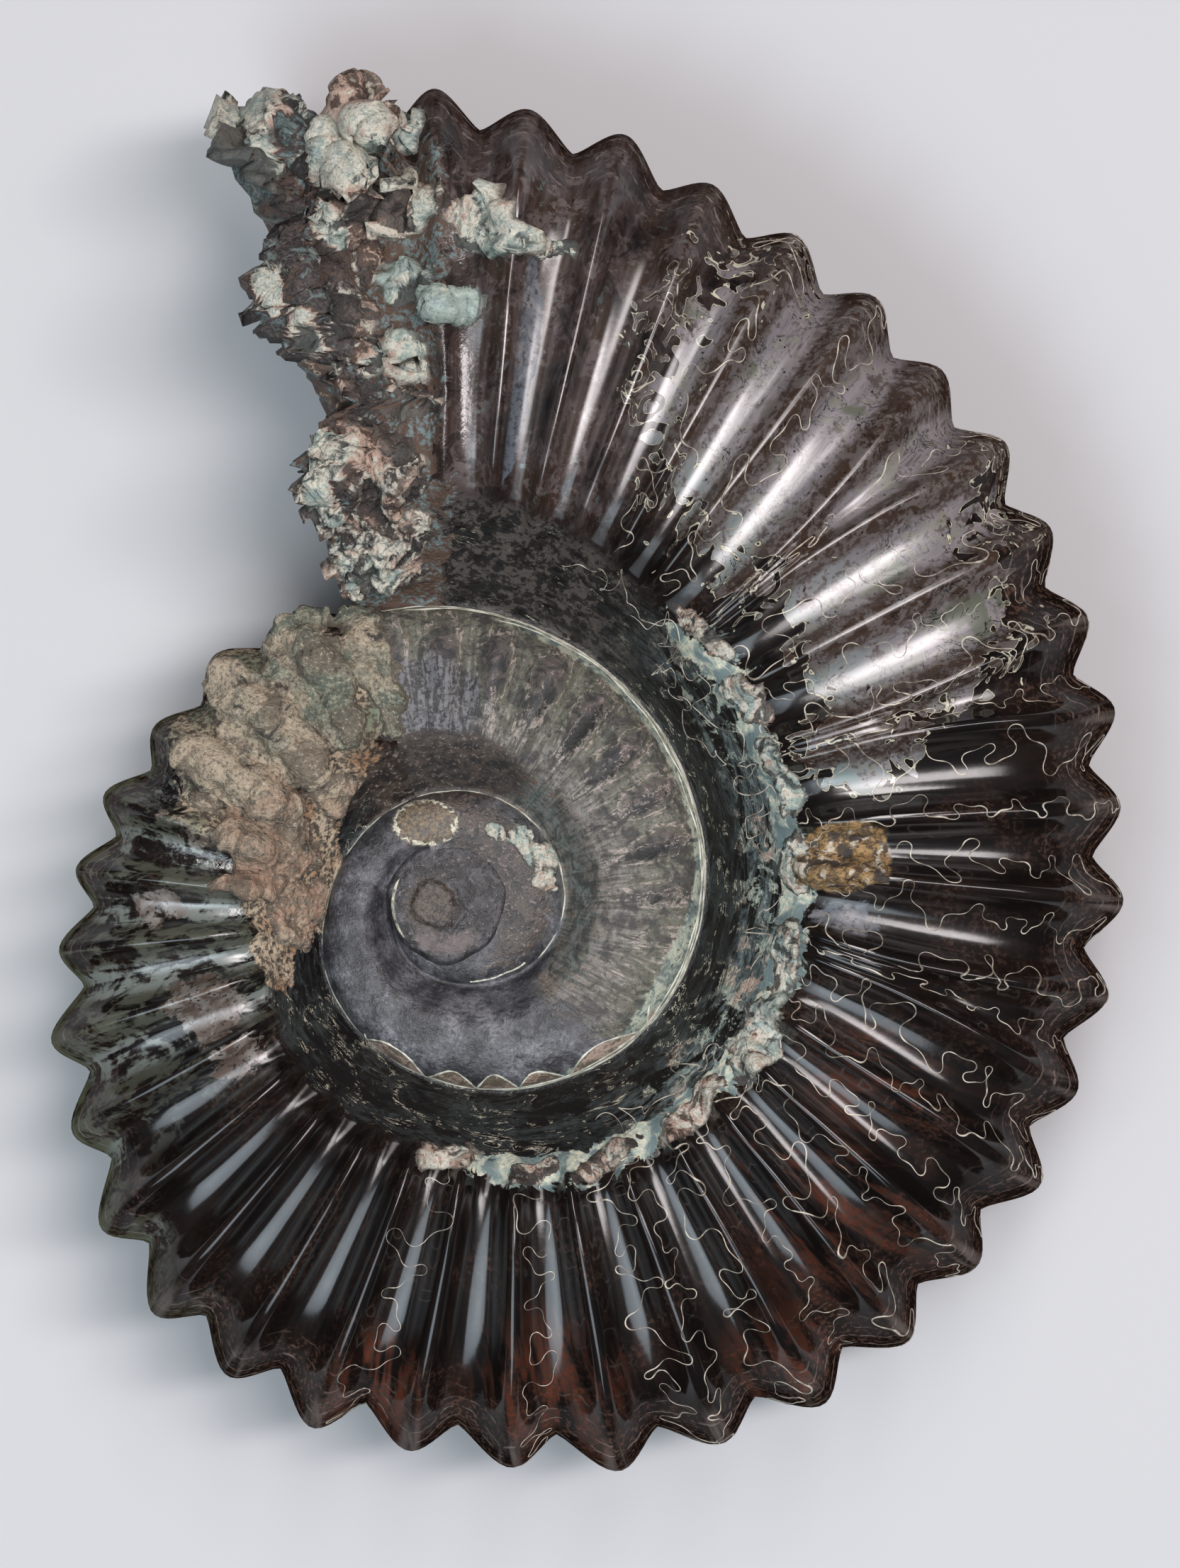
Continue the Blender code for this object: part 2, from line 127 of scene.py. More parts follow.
LUMP_HEIGHT = 0.8
LUMPS_WITHIN = 8
MOUTH_FEATURES = (
    (444, 66.0, 6.5, 3.6, 1.7),
    (454, 62.0, 5.0, 4.4, -2.8),
    (449, 57.0, 5.0, 3.4, 1.6),
    (461, 72.0, 3.6, 5.0, -2.0),
    (464, 79.0, 3.6, 3.6, 1.4),
    (463, 59.0, 4.2, 4.2, 2.4),
    (458, 50.0, 4.4, 4.0, -1.6),
    (463, 42.5, 4.2, 4.2, 1.9),
    (460, 35.5, 4.4, 3.6, 1.2),
)
LIE_ABOUT_X = 2.75
POLE = (-13.83, -12.12, 17.06)

# The fine surface: columns per rib, rows from seam to shoulder and from there to the outer edge, the rock
# face, the core's dome, the rim's jags as (length, depth), and how the ribs are rounded
COLUMNS_PER_RIB = 15
MOUTH_COLUMNS_PER_RIB = 24
MOUTH_RIBS = 5
UPPER_SHARES = np.concatenate([np.linspace(-1, 0, 13)[:-1], np.linspace(0, 1, 57)])
UNDER_SHARES = np.concatenate([np.linspace(-1, 0, 5)[:-1], np.linspace(0, 1, 27)])
INNER_SHARES = np.concatenate([np.linspace(-1, 0, 9)[:-1], np.linspace(0, 0.97 * EDGE_SHARE, 24)])
CORE_SHARES = np.linspace(-1, 0.95 * EDGE_SHARE, 14)
ROCK_FACE_LAYERS = np.linspace(0, 1, 14)[1:-1]
CORE_RINGS = (0.8, 0.55, 0.3)
CORE_DOME = 0.35
CORE_TOP = 0.36
RIM_JAGS = ((3.1, 0.9), (1.7, 0.55), (0.9, 0.25))
CREST_ROUNDING = 0.13
SCALLOP_DEPTH = 0.24
TIP_ROUNDING = 0.25
VALLEY_CURVES = (3.0, 1.3)
INNER_UNEVEN = 0.13

# How far the upper side's large colours are turned round the coil for the underside, the heights over which
# the two fade, and how soon before the mouth the underside's brown ends
UNDER_TURNED = 150.0
UPPER_FADES = (-7.0, -1.0)
UNDER_FADES = (-3.0, -9.0)
UNDER_BROWN_ENDS = 14

# Steps by which normals are measured, and steps in place from one noise to the next
NORMAL_STEP = 0.02
FRAME_STEP = 0.004
INNER_FRAME_STEPS = (0.5, 0.01)
NOISE_STEP = np.array((17.3, 5.1, 11.9))
OCTAVE_STEP = np.array((3.1, 0, 0))
FULL_WAVE = 2 * math.pi

LIE = Matrix.Translation(Vector(POLE)) @ Matrix.Rotation(math.radians(LIE_ABOUT_X), 4, "X")

# The photograph: pixels, the pole's place in it, its scale at the coil's middle plane, and how far off it was
PHOTO_WIDTH = 1665
PHOTO_HEIGHT = 2212
POLE_PIXEL = (630, 1275)
PIXELS_PER_MM = 14.5
CAMERA_DISTANCE = 500.0
SENSOR = 36.0


def through(knots, at):
    """A smooth curve through (place, value) pairs."""
    x, y = np.array(knots, float).T
    slope = np.gradient(y, x)
    at = np.clip(at, x[0], x[-1])
    i = np.clip(np.searchsorted(x, at) - 1, 0, len(x) - 2)
    step = x[i + 1] - x[i]
    u = (at - x[i]) / step
    rise = u * u * (3 - 2 * u)
    bend = u * (1 - u) * step
    return y[i] + (y[i + 1] - y[i]) * rise + bend * ((1 - u) * slope[i] - u * slope[i + 1])


def ease(low, high, at):
    """0 below low, 1 above high and smooth between; low may be the larger one."""
    u = np.clip((at - low) / (high - low), 0, 1)
    return u * u * (3 - 2 * u)


def noise_at(points, size, seed=0, octaves=1):
    """Smooth noise of about -1 to 1 for each point, with finer and fainter octaves added."""
    flat = points.reshape(-1, 3)
    total = np.zeros(len(flat))
    for octave in range(octaves):
        scaled = flat * (2.03 ** octave / size) + seed * NOISE_STEP + octave * OCTAVE_STEP
        total += np.array([noise.noise(Vector(p)) for p in scaled]) * 0.5 ** octave
    return total.reshape(points.shape[:-1])


def half_thickness(angle):
    return HALF_THICKNESS * GROWTH_PER_TURN ** ((angle - END) / TURN)


def outer_edge(angle):
    shoulder = through(SHOULDER, angle)
    hidden = shoulder + (through(SEAM, angle + TURN) - shoulder) / through(SECTION_OUT, EDGE_SHARE)
    return np.where(angle < START, hidden, through(OUTER_EDGE, angle))


def section_point(angle, share):
    shoulder = through(SHOULDER, angle)
    radius = shoulder + (outer_edge(angle) - shoulder) * through(SECTION_OUT, share)
    return radius, half_thickness(angle) * through(SECTION_UP, share)


def wall_point(angle, share):
    seam = through(SEAM, angle)
    core_foot = CORE_FOOT * half_thickness(angle)
    foot = np.where(angle - TURN < CORE, core_foot, section_point(angle - TURN, EDGE_SHARE)[1])
    top_radius, top = section_point(angle, 0.0)
    return seam + (top_radius - seam) * share, foot + (top - foot) * share ** WALL_CURVE


def shell_point(angle, share):
    """(radius, height) of the smooth shell at a share from -1 to 1."""
    flank = section_point(angle, np.maximum(share, 0))
    wall = wall_point(angle, np.clip(share + 1, 0, 1))
    return np.where(share < 0, wall[0], flank[0]), np.where(share < 0, wall[1], flank[1])


def shell_normal(angle, share):
    """(outward, upward) parts of the smooth shell's normal."""
    ahead = shell_point(angle, np.minimum(share + NORMAL_STEP, 1 + NORMAL_STEP))
    behind = shell_point(angle, share - NORMAL_STEP)
    out, up = behind[1] - ahead[1], ahead[0] - behind[0]
    length = np.hypot(out, up)
    return out / length, up / length


def crest_profile(phase, rounding, curve):
    """1 on a rib's crest, falling in a hollow curve to 0 midway to the next."""
    near = np.abs(phase - np.round(phase))
    near = np.sqrt(near ** 2 + rounding ** 2)
    far = np.sqrt(0.25 + rounding ** 2)
    return np.clip((far - near) / (far - rounding), 0, 1) ** curve


def fork_shift(phase):
    shift = np.zeros_like(phase)
    for rib in FORK_RIBS:
        shift += np.interp(phase, (rib - 1, rib, rib + 1, rib + 2), (0, FORK_PINCH, -FORK_PINCH, 0))
    return shift


def fork_fill(phase, share):
    between = np.zeros_like(phase)
    for rib in FORK_RIBS:
        between = between + ease(*FORK_GAP_WIDTH, np.abs(phase - rib - 0.5))
    return between * ease(*FORK_GAP, share)


def rim_angle(radius, underside):
    """The broken edge. Its fine jags are the scene's own."""
    angle = through(RIM, radius) - UNDERSIDE_SETBACK * underside * ease(*UNDERSIDE_SETBACK_FROM, radius)
    for n, (length, depth) in enumerate(RIM_JAGS):
        wave = FULL_WAVE * radius / length + 2.1 * n + 1.3 * np.sin(radius / 2.3 + n) + 2.0 * underside
        angle = angle + np.degrees(depth * np.sin(wave) / radius)
    return angle


def polar(angle, radius, height):
    turn = np.radians(angle)
    return np.stack(np.broadcast_arrays(radius * np.cos(turn), radius * np.sin(turn), height), axis=-1)


def mouth_relief(angle, radius, points):
    near = ease(WORN_FROM - LUMPS_WITHIN, WORN_FROM + LUMPS_WITHIN, angle)
    relief = near * LUMP_HEIGHT * noise_at(points, LUMP_SIZE, 1)
    worn = WORN_DOWN * ease(WORN_FROM, END, angle) * ease(*WORN_OUTSIDE, radius)
    relief -= worn * ease(*WORN_INSIDE, radius)
    for at_angle, at_radius, wide, high, out in MOUTH_FEATURES:
        across = np.radians(angle - at_angle) * at_radius / wide
        along = (radius - at_radius) / high
        relief += out * np.exp(-(across ** 2 + along ** 2))
    return relief


def last_turn(phase, share, side):
    """Points of the last turn on a grid of rib phases and shares, and what the finish needs to know of each:
    angle, radius, share, how near a crest it is, and which turn it is on."""
    phase, share = np.broadcast_arrays(phase, share)
    tip = through(RIB_TIPS, phase)
    reach = ease(LAST_PHASE - RIM_RIBS, LAST_PHASE, phase)
    inward = (1 - np.clip(share, 0, 1)) ** LEAN_CURVE
    angle = tip + through(RIB_LEAN, tip) * inward + fork_shift(phase) * ease(*FORK_PARTS, share)
    radius, height = shell_point(angle, share)
    end_here = through(RIB_TIPS, LAST_PHASE) + through(RIB_LEAN, END + 2) * inward
    angle = angle + (rim_angle(radius, float(side < 0)) - end_here) * reach
    smooth = polar(angle, radius, height * side)
    to_edge = ease(0.6, 0.95, share)
    rounding = CREST_ROUNDING + (TIP_ROUNDING - CREST_ROUNDING) * to_edge
    crest = crest_profile(phase, rounding, VALLEY_CURVES[0] + (VALLEY_CURVES[1] - VALLEY_CURVES[0]) * to_edge)
    wave = crest + (1 - crest) * fork_fill(phase, share)
    height_here = through(RIB_HEIGHT, tip) * (1 + 0.1 * np.sin(np.round(phase) * 2.4))
    on_flank = through(SECTION_RIB, np.maximum(share, 0)) * ease(-0.35, 0.05, share)
    rise = height_here * on_flank * wave
    rise = rise * (1 - (1 - RIBS_LEFT) * ease(*RIBS_FADE, angle) * ease(*FADED_INSIDE, radius))
    rise = rise + ease(0, 0.05, share) * mouth_relief(angle, radius, smooth)
    out, up = shell_normal(angle, share)
    points = polar(angle, radius + out * rise, (height + up * rise) * side)
    return points, np.stack([angle, radius, share, wave, np.full_like(angle, 2.0)], axis=-1)


def inner_turn(angle, share, side, turn):
    """The same for an inner turn, by angle."""
    angle, share = np.broadcast_arrays(angle, share)
    radius, height = shell_point(angle, share)
    phase = FIRST_PHASE + (angle - START) / INNER_RIB_PITCH
    crest = crest_profile(phase, 0.2, VALLEY_CURVES[1]) * np.exp(-((share - 0.5) / 0.24) ** 2)
    rise = 1.1 * crest * through(RIB_HEIGHT, angle)
    rise = rise * ease(-150, 20, angle)
    smooth = polar(angle, radius, height * side)
    rise = rise + INNER_UNEVEN * noise_at(smooth, 1.9, 71, 3)
    points = polar(angle, radius, (height + rise) * side)
    crest = crest * ease(-40, 30, angle)
    return points, np.stack([angle, radius, share, crest, np.full_like(angle, float(turn))], axis=-1)


def unit(vectors):
    return vectors / np.maximum(np.linalg.norm(vectors, axis=-1, keepdims=True), 1e-9)


def grid_normals(points):
    """Unit normals of a grid of points, columns running counter-clockwise and rows outward."""
    along = np.gradient(points, axis=0)
    across = np.gradient(points, axis=1)
    return unit(np.cross(across, along))


class Surface:
    """Vertices with their finish values, and faces. A grid or line is an array of its vertices' numbers."""

    def __init__(self):
        self.points = np.zeros((0, 3))
        self.values = np.zeros((0, 5))
        self.faces = []

    def add(self, points, values):
        first = len(self.points)
        self.points = np.concatenate([self.points, points.reshape(-1, 3)])
        self.values = np.concatenate([self.values, values.reshape(-1, 5)])
        return np.arange(first, len(self.points)).reshape(points.shape[:-1])

    def fill_grid(self, grid, side):
        quads = np.stack([grid[:-1, :-1], grid[:-1, 1:], grid[1:, 1:], grid[1:, :-1]], axis=-1).reshape(-1, 4)
        self.faces.extend((quads if side > 0 else quads[:, ::-1]).tolist())

    def triangle(self, corners, side):
        corners = [int(c) for c in corners]
        if len(set(corners)) == 3:
            self.faces.append(corners if side > 0 else corners[::-1])

    def zip_lines(self, left, right, side):
        """Triangles between two lines of different counts, taking the shorter diagonal each time."""
        i = j = 0
        while i < len(left) - 1 or j < len(right) - 1:
            on_left = math.inf
            on_right = math.inf
            if i < len(left) - 1:
                on_left = np.linalg.norm(self.points[left[i + 1]] - self.points[right[j]])
            if j < len(right) - 1:
                on_right = np.linalg.norm(self.points[right[j + 1]] - self.points[left[i]])
            if on_left <= on_right:
                self.triangle((left[i], right[j], left[i + 1]), side)
                i += 1
            else:
                self.triangle((left[i], right[j], right[j + 1]), side)
                j += 1


def wind_inward(surface, seam_row, seam_angles, last_column, skip, shares, side, turn):
    """One inner turn under a turn's seam row, joined at its end to that turn's first column."""
    own = slice(0, len(seam_row) - 1, skip)
    angles = seam_angles[own] - TURN
    grid = surface.add(*inner_turn(angles[:, None], shares[None, :], side, turn))
    surface.fill_grid(grid, side)
    reached = (len(angles) - 1) * skip
    surface.zip_lines(grid[:, -1], seam_row[: reached + 1], side)
    rest = np.concatenate([grid[-1], seam_row[reached:-1]])
    surface.zip_lines(rest[::-1], last_column[::-1], side)
    own_seam = np.append(grid[:, 0], last_column[0])
    own_angles = np.append(angles, seam_angles[-1] - TURN)
    return own_seam, own_angles, np.append(grid[0], seam_row[0])


def close_core(surface, seam_row, first_column, side):
    """The first chamber, a low dome inside the innermost seam."""
    loop = np.concatenate([seam_row, first_column[-2:0:-1]])
    corners = surface.points[loop]
    centre = np.array([0.0, 0.0, corners[:, 2].mean()])
    values = surface.values[loop]
    previous = loop
    for share in CORE_RINGS:
        rise = CORE_DOME * side * (1 - share ** 2)
        ring = surface.add(centre + (corners - centre) * share + (0, 0, rise), values)
        for i in range(len(loop)):
            j = (i + 1) % len(loop)
            surface.triangle((ring[i], previous[i], previous[j]), side)
            surface.triangle((ring[i], previous[j], ring[j]), side)
        previous = ring
    top = int(surface.add((centre + (0, 0, CORE_TOP * side))[None, :], values[:1])[0])
    for i in range(len(loop)):
        surface.triangle((top, previous[i], previous[(i + 1) % len(loop)]), side)


def points_along(line, at):
    """Points at shares of the way along a line, counted by its vertices."""
    return np.stack([np.interp(at, np.linspace(0, 1, len(line)), line[:, n]) for n in range(3)], axis=1)


def close_mouth(surface, rim, foot):
    """The broken rock face, hollowed behind the rim."""
    previous = rim
    rim_points = surface.points[rim]
    foot_points = surface.points[foot]
    back = np.array([math.sin(math.radians(END)), -math.cos(math.radians(END)), 0.0])
    for share in ROCK_FACE_LAYERS:
        count = round(len(rim) + (len(foot) - len(rim)) * share)
        at = np.linspace(0, 1, count)[1:-1]
        outer = points_along(rim_points, at)
        inner = points_along(foot_points, at)
        layer = outer + (inner - outer) * share
        depth = HOLLOW * math.sin(math.pi * min(share * HOLLOW_SPEED, 1) * 0.5) * np.sin(math.pi * at) ** 0.5
        depth = depth * (1 - HOLLOW_FOOT * share) * (1 + HOLLOW_ROUGHNESS * noise_at(layer, 5.0, 2))
        depth = depth + 1.2 * noise_at(layer, 6.0, 3, 4) * ease(0, 0.2, share) * ease(1, 0.9, share)
        layer = layer + back * depth[:, None]
        values = np.zeros((len(layer), 5))
        values[:, 0] = END
        values[:, 1] = np.hypot(layer[:, 0], layer[:, 1])
        values[:, 4] = 3.0
        line = np.concatenate([rim[:1], surface.add(layer, values), rim[-1:]])
        surface.zip_lines(previous, line, -1)
        previous = line
    surface.zip_lines(previous, foot, -1)


def column_phases():
    """Rib phases of the last turn's columns, closer together near the mouth."""
    change = LAST_PHASE - MOUTH_RIBS
    coarse = np.linspace(FIRST_PHASE, change, round((change - FIRST_PHASE) * COLUMNS_PER_RIB) + 1)
    fine = np.linspace(change, LAST_PHASE, MOUTH_RIBS * MOUTH_COLUMNS_PER_RIB + 1)
    return np.concatenate([coarse[:-1], fine])


def shell_surface():
    surface = Surface()
    phases = column_phases()[:, None]
    upper_points, upper_values = last_turn(phases, UPPER_SHARES[None, :], 1)
    under_points, under_values = last_turn(phases, UNDER_SHARES[None, -2::-1], -1)
    edge = int(np.argmin(np.abs(UPPER_SHARES - EDGE_SHARE)))
    under_edge = len(UPPER_SHARES) + len(UNDER_SHARES) - 2 - int(np.argmin(np.abs(UNDER_SHARES - EDGE_SHARE)))
    grid = surface.add(
        np.concatenate([upper_points, under_points], axis=1),
        np.concatenate([upper_values, under_values], axis=1),
    )
    grid[-1, 0] = grid[0, edge]
    grid[-1, -1] = grid[0, under_edge]
    surface.fill_grid(grid, 1)
    close_mouth(surface, grid[-1], grid[0, edge : under_edge + 1])
    tips = through(RIB_TIPS, phases[:, 0])
    angles = tips + through(RIB_LEAN, tips) + fork_shift(phases[:, 0])
    upper_column = grid[0, : edge + 1]
    under_column = grid[0, ::-1][: grid.shape[1] - under_edge]
    row, row_angles, first = wind_inward(surface, grid[:, 0], angles, upper_column, 1, INNER_SHARES, 1, 1)
    row, row_angles, first = wind_inward(surface, row, row_angles, first, 2, CORE_SHARES, 1, 0)
    close_core(surface, row, first, 1)
    row, row_angles, first = wind_inward(
        surface, grid[:, -1], angles, under_column, 3, INNER_SHARES[::2], -1, 1
    )
    row, row_angles, first = wind_inward(surface, row, row_angles, first, 2, CORE_SHARES[::2], -1, 0)
    close_core(surface, row, first, -1)
    return surface


def in_place(points):
    """From the coil's millimetres to the scene's metres. What is under the floor is ground off."""
    turned = points @ np.array(LIE.to_3x3()).T + np.array(POLE)
    turned[..., 2] = np.maximum(turned[..., 2], 0)
    return turned * MM


def make_piece(name, points, faces, materials, attributes=None, kinds=None):
    """A piece in place. Kinds, if any, say which of the materials each face has."""
    mesh = bpy.data.meshes.new(name)
    mesh.from_pydata(in_place(points).tolist(), [], faces)
    for material in materials:
        mesh.materials.append(material)
    if kinds is not None:
        mesh.polygons.foreach_set("material_index", kinds)
    for key, values in (attributes or {}).items():
        layer = mesh.attributes.new(key, "FLOAT", "POINT")
        layer.data.foreach_set("value", np.ascontiguousarray(values, dtype=np.float32))
    mesh.validate()
    mesh.shade_smooth()
    piece = bpy.data.objects.new(name, mesh)
    bpy.context.scene.collection.objects.link(piece)
    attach(piece, "root")
    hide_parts("ammonite")
    return piece


# Patches of colour: (strength, angle, radius, half angle, half radius), then the border's slope if not 1.2
FLANK_PATCHES = {
    "grey": ((1, 411, 57, 17, 15), (1, 393, 51, 11, 10), (0.85, 382, 43, 7, 6)),
    "red": (
        (0.7, 307, 56, 5, 7), (0.6, 322, 46, 9, 9), (0.6, 283, 46, 9, 6), (0.6, 338, 44, 6, 6),
        (0.9, 262, 45, 5, 4),
    ),
}
UPPER_PATCHES = {
    "panel": ((1, 442.3, 50.5, 2.2, 11, 2.0), (0.8, 357.8, 37.3, 3.4, 4.4, 0.9)),
    "sand": ((1, 133, 22.5, 30, 8.5), (1, 168, 15.0, 28, 4.5), (0.8, 196, 17.0, 14, 2.0)),
    "stain": (
        (1, 203, 24.5, 8, 3.6), (0.8, 216, 24.0, 5, 3.0), (0.8, 158, 23.0, 9, 3.6), (0.7, 180, 27.0, 5, 3.0),
    ),
    "gold": ((1, 367.2, 38.0, 5.0, 4.8),),
}
INNER_PATCHES = {
    "plate": ((1, 94, 19.8, 15, 4.0, 2.0),),
    "dark": ((1, 95, 13.6, 40, 3.4, 1.5), (0.9, 35, 7.6, 88, 2.9)),
    "pale": ((1, 111, 18.5, 7, 3.6),),
}


def patch(angle, radius, at_angle, at_radius, half_angle, half_radius, slope=1.2):
    """1 well inside an oval, 0 well outside and 0.5 on its border, for the finish to fray with noise."""
    away = np.sqrt(((angle - at_angle) / half_angle) ** 2 + ((radius - at_radius) / half_radius) ** 2)
    return np.clip(0.5 + (1 - away) * slope, 0, 1)


def most(*fields):
    return np.max(fields, axis=0)


def patchwork(angle, radius, rows):
    """The strongest of several patches."""
    return most(*[strength * patch(angle, radius, *oval) for strength, *oval in rows])


def flank_fields(turned, radius, share):
    """Where the large colours of one flank of the last turn lie."""
    found = {key: patchwork(turned, radius, rows) for key, rows in FLANK_PATCHES.items()}
    found["brown"] = ease(420, 434, turned) * ease(-0.1, 0.1, share)
    near_edge = ease(250, 215, turned) * ease(0.68, 0.80, share)
    found["olive"] = ease(135, 160, turned) * most(ease(228, 200, turned), near_edge)
    found["rim"] = np.exp(-((share + 0.06) / 0.16) ** 2) * ease(258, 285, turned) * ease(425, 400, turned)
    found["teal"] = ease(-0.7, -0.4, share) * ease(300, 335, turned) * ease(425, 385, turned)
    return found


def finish_values(values, height):
    """Where each colour and crust of the last turn's finish lies, 0 to 1 for each vertex. The underside has
    the upper side's large colours, turned round the coil. The two fade into each other at the outer edge."""
    angle, radius, share, crest, turn = values.T
    last = (turn > 1.5).astype(float)
    over = ease(*UPPER_FADES, height)
    under = ease(*UNDER_FADES, height)
    turned = np.where(angle + UNDER_TURNED > END, angle + UNDER_TURNED - TURN, angle + UNDER_TURNED)
    found = {"angle": angle, "coil_radius": radius, "share": share, "crest": crest * (turn < 2.5)}
    fields_over = flank_fields(angle, radius, share)
    fields_under = flank_fields(turned, radius, share)
    fields_under["brown"] *= ease(END, END - UNDER_BROWN_ENDS, turned)
    for key in fields_over:
        found[key] = last * most(over * fields_over[key], under * fields_under[key])
    upper = last * over
    for key, rows in UPPER_PATCHES.items():
        found[key] = upper * patchwork(angle, radius, rows)
    found["wall"] = ease(0.02, -0.12, share) * last
    found["worn"] = ease(444, 456, angle) * ease(76, 68, radius) * (turn == 2)
    return found


def scallops(angle):
    """How far inside the seam the scalloped line runs, as a share of the flank."""
    turn = np.radians(angle)
    return SCALLOP_DEPTH * np.abs(np.sin(turn * 10.8 + 0.8 * np.sin(turn * 5))) ** 0.8


def inner_values(points):
    """The same for the inner turns, by place, so that nothing shows where one turn runs on into the next."""
    x, y = points[:, 0], points[:, 1]
    radius = np.hypot(x, y)
    signed = np.degrees(np.arctan2(y, x))
    angle = signed % TURN
    across = (angle + 90) % TURN - 90
    ring = through(SEAM, signed + TURN)
    found = {key: patchwork(across, radius, rows) for key, rows in INNER_PATCHES.items()}
    found["slate"] = most(ease(150, 172, angle) * ease(338, 300, angle), ease(12.2, 10.6, radius))
    found["moss"] = np.exp(-((radius - 13.2) / 1.9) ** 2) * ease(-50, -20, across) * ease(85, 60, across)
    phase = FIRST_PHASE + (across - START) / INNER_RIB_PITCH
    middle = 20.5 + 0.8 * np.sin(2.4 * np.round(phase))
    # Painted shadow: a dark lens on one side of each inner rib, as if it were shaded
    found["lee"] = np.clip(np.sin(FULL_WAVE * (phase + 0.32)), 0, 1) * np.exp(-((radius - middle) / 3.6) ** 2)
    uneven = 0.78 + 0.3 * np.sin(2.1 * np.round(phase))
    found["lee"] *= ease(-30, 15, across) * ease(84, 70, across) * uneven
    found["oval"] = np.hypot((x + 1.9) / 3.1, (y - 7.9) / 2.15)
    wide = 0.7 + 1.0 * np.exp(-((signed + 18) / 18) ** 2)
    band = np.exp(-((radius - ring + 0.5 * wide) / wide) ** 2) * ease(-75, -45, signed)
    found["band"] = band * ease(95, 60, signed)
    inside = section_point(signed, EDGE_SHARE - scallops(signed))[0]
    found["lace"] = ease(-0.25, 0.25, radius - inside) * ease(-124, -118, signed) * ease(-24, -30, signed)
    return found


class Graph:
    """Builds the nodes of one material. Noise works in millimetres."""

    def __init__(self, name, gloss=1.5):
        self.material = bpy.data.materials.new(name)
        self.material.use_nodes = True
        self.tree = self.material.node_tree
        self.shader = self.tree.nodes["Principled BSDF"]
        self.set(self.shader.inputs["IOR"], gloss)
        place = self.node("ShaderNodeTexCoord").outputs["Object"]
        in_mm = {0: place, "Scale": 1 / MM}
        self.place = self.node("ShaderNodeVectorMath", in_mm, operation="SCALE").outputs[0]

    def node(self, kind, inputs=None, **settings):
        made = self.tree.nodes.new(kind)
        for key, value in settings.items():
            setattr(made, key, value)
        for socket, value in (inputs or {}).items():
            self.set(made.inputs[socket], value)
        return made

    def set(self, socket, value):
        """Links or sets the socket. A name stands for the vertices' value of that name."""
        if isinstance(value, str):
            value = self.value(value)
        if isinstance(value, bpy.types.NodeSocket):
            self.tree.links.new(value, socket)
        elif isinstance(value, tuple) and len(value) == 3 and socket.type == "RGBA":
            socket.default_value = (*value, 1)
        else:
            socket.default_value = value

    def value(self, name):
        return self.node("ShaderNodeAttribute", attribute_name=name).outputs["Fac"]

    def noise(self, size, detail=3.0, rough=0.55, warp=0.0, at=None):
        """Noise from 0 to 1 with features of about this size."""
        inputs = {"Vector": at or self.place, "Scale": 1 / size, "Detail": detail, "Roughness": rough}
        inputs["Distortion"] = warp
        return self.node("ShaderNodeTexNoise", inputs).outputs["Fac"]

    def cells(self, size, at=None):
        inputs = {"Vector": at or self.place, "Scale": 1 / size}
        return self.node("ShaderNodeTexVoronoi", inputs).outputs["Distance"]

    def math(self, operation, a, b=0.0):
        return self.node("ShaderNodeMath", {0: a, 1: b}, operation=operation).outputs[0]

    def sum(self, a, b):
        return self.math("ADD", a, b)

    def times(self, a, b):
        return self.math("MULTIPLY", a, b)

    def most(self, a, b):
        return self.math("MAXIMUM", a, b)

    def shaken(self, value, *waves):
        """The value moved up and down by noise, (noise, amount) for each."""
        for wave, amount in waves:
            value = self.sum(value, self.times(self.sum(wave, -0.5), amount))
        return value

    def step(self, value, low, high):
        """0 below low, 1 above high and smooth between; low may be the larger one."""
        inputs = {"Value": value, "From Min": low, "From Max": high}
        if low > high:
            inputs = {"Value": value, "From Min": high, "From Max": low, "To Min": 1.0, "To Max": 0.0}
        return self.node("ShaderNodeMapRange", inputs, interpolation_type="SMOOTHSTEP").outputs["Result"]

    def frayed(self, low, high, value, *waves):
        """A step at a border that noise frays."""
        return self.step(self.shaken(value, *waves), low, high)

    def line(self, value, at, width):
        """1 where the value is near one level, as a thin line."""
        off = self.math("ABSOLUTE", self.math("SUBTRACT", value, at))
        return self.step(off, width, width * 0.4)

    def mix(self, factor, a, b):
        return self.node("ShaderNodeMix", {0: factor, 6: a, 7: b}, data_type="RGBA").outputs[2]

    def coat(self, under, over, where, most=1.0):
        """One colour laid over another where the mask is 1, at most so thickly."""
        return self.mix(where if most == 1.0 else self.times(where, most), under, over)

    def blend(self, factor, a, b):
        return self.node("ShaderNodeMix", {0: factor, 2: a, 3: b}, data_type="FLOAT").outputs[0]

    def streaks(self, along, across, seed=0.0):
        """Coordinates stretched along the ribs."""
        turn = self.times(self.value("angle"), 0.8 / across)
        out = self.times(self.value("coil_radius"), 1 / along)
        return self.node("ShaderNodeCombineXYZ", {0: turn, 1: out, 2: seed}).outputs[0]

    def finish(self, colour, roughness, bump, depth):
        """Depth is the bump's full height in millimetres."""
        self.set(self.shader.inputs["Base Color"], colour)
        self.set(self.shader.inputs["Roughness"], roughness)
        inputs = {"Height": bump, "Distance": depth * MM, "Strength": 1.0}
        self.set(self.shader.inputs["Normal"], self.node("ShaderNodeBump", inputs).outputs["Normal"])
        return self.material


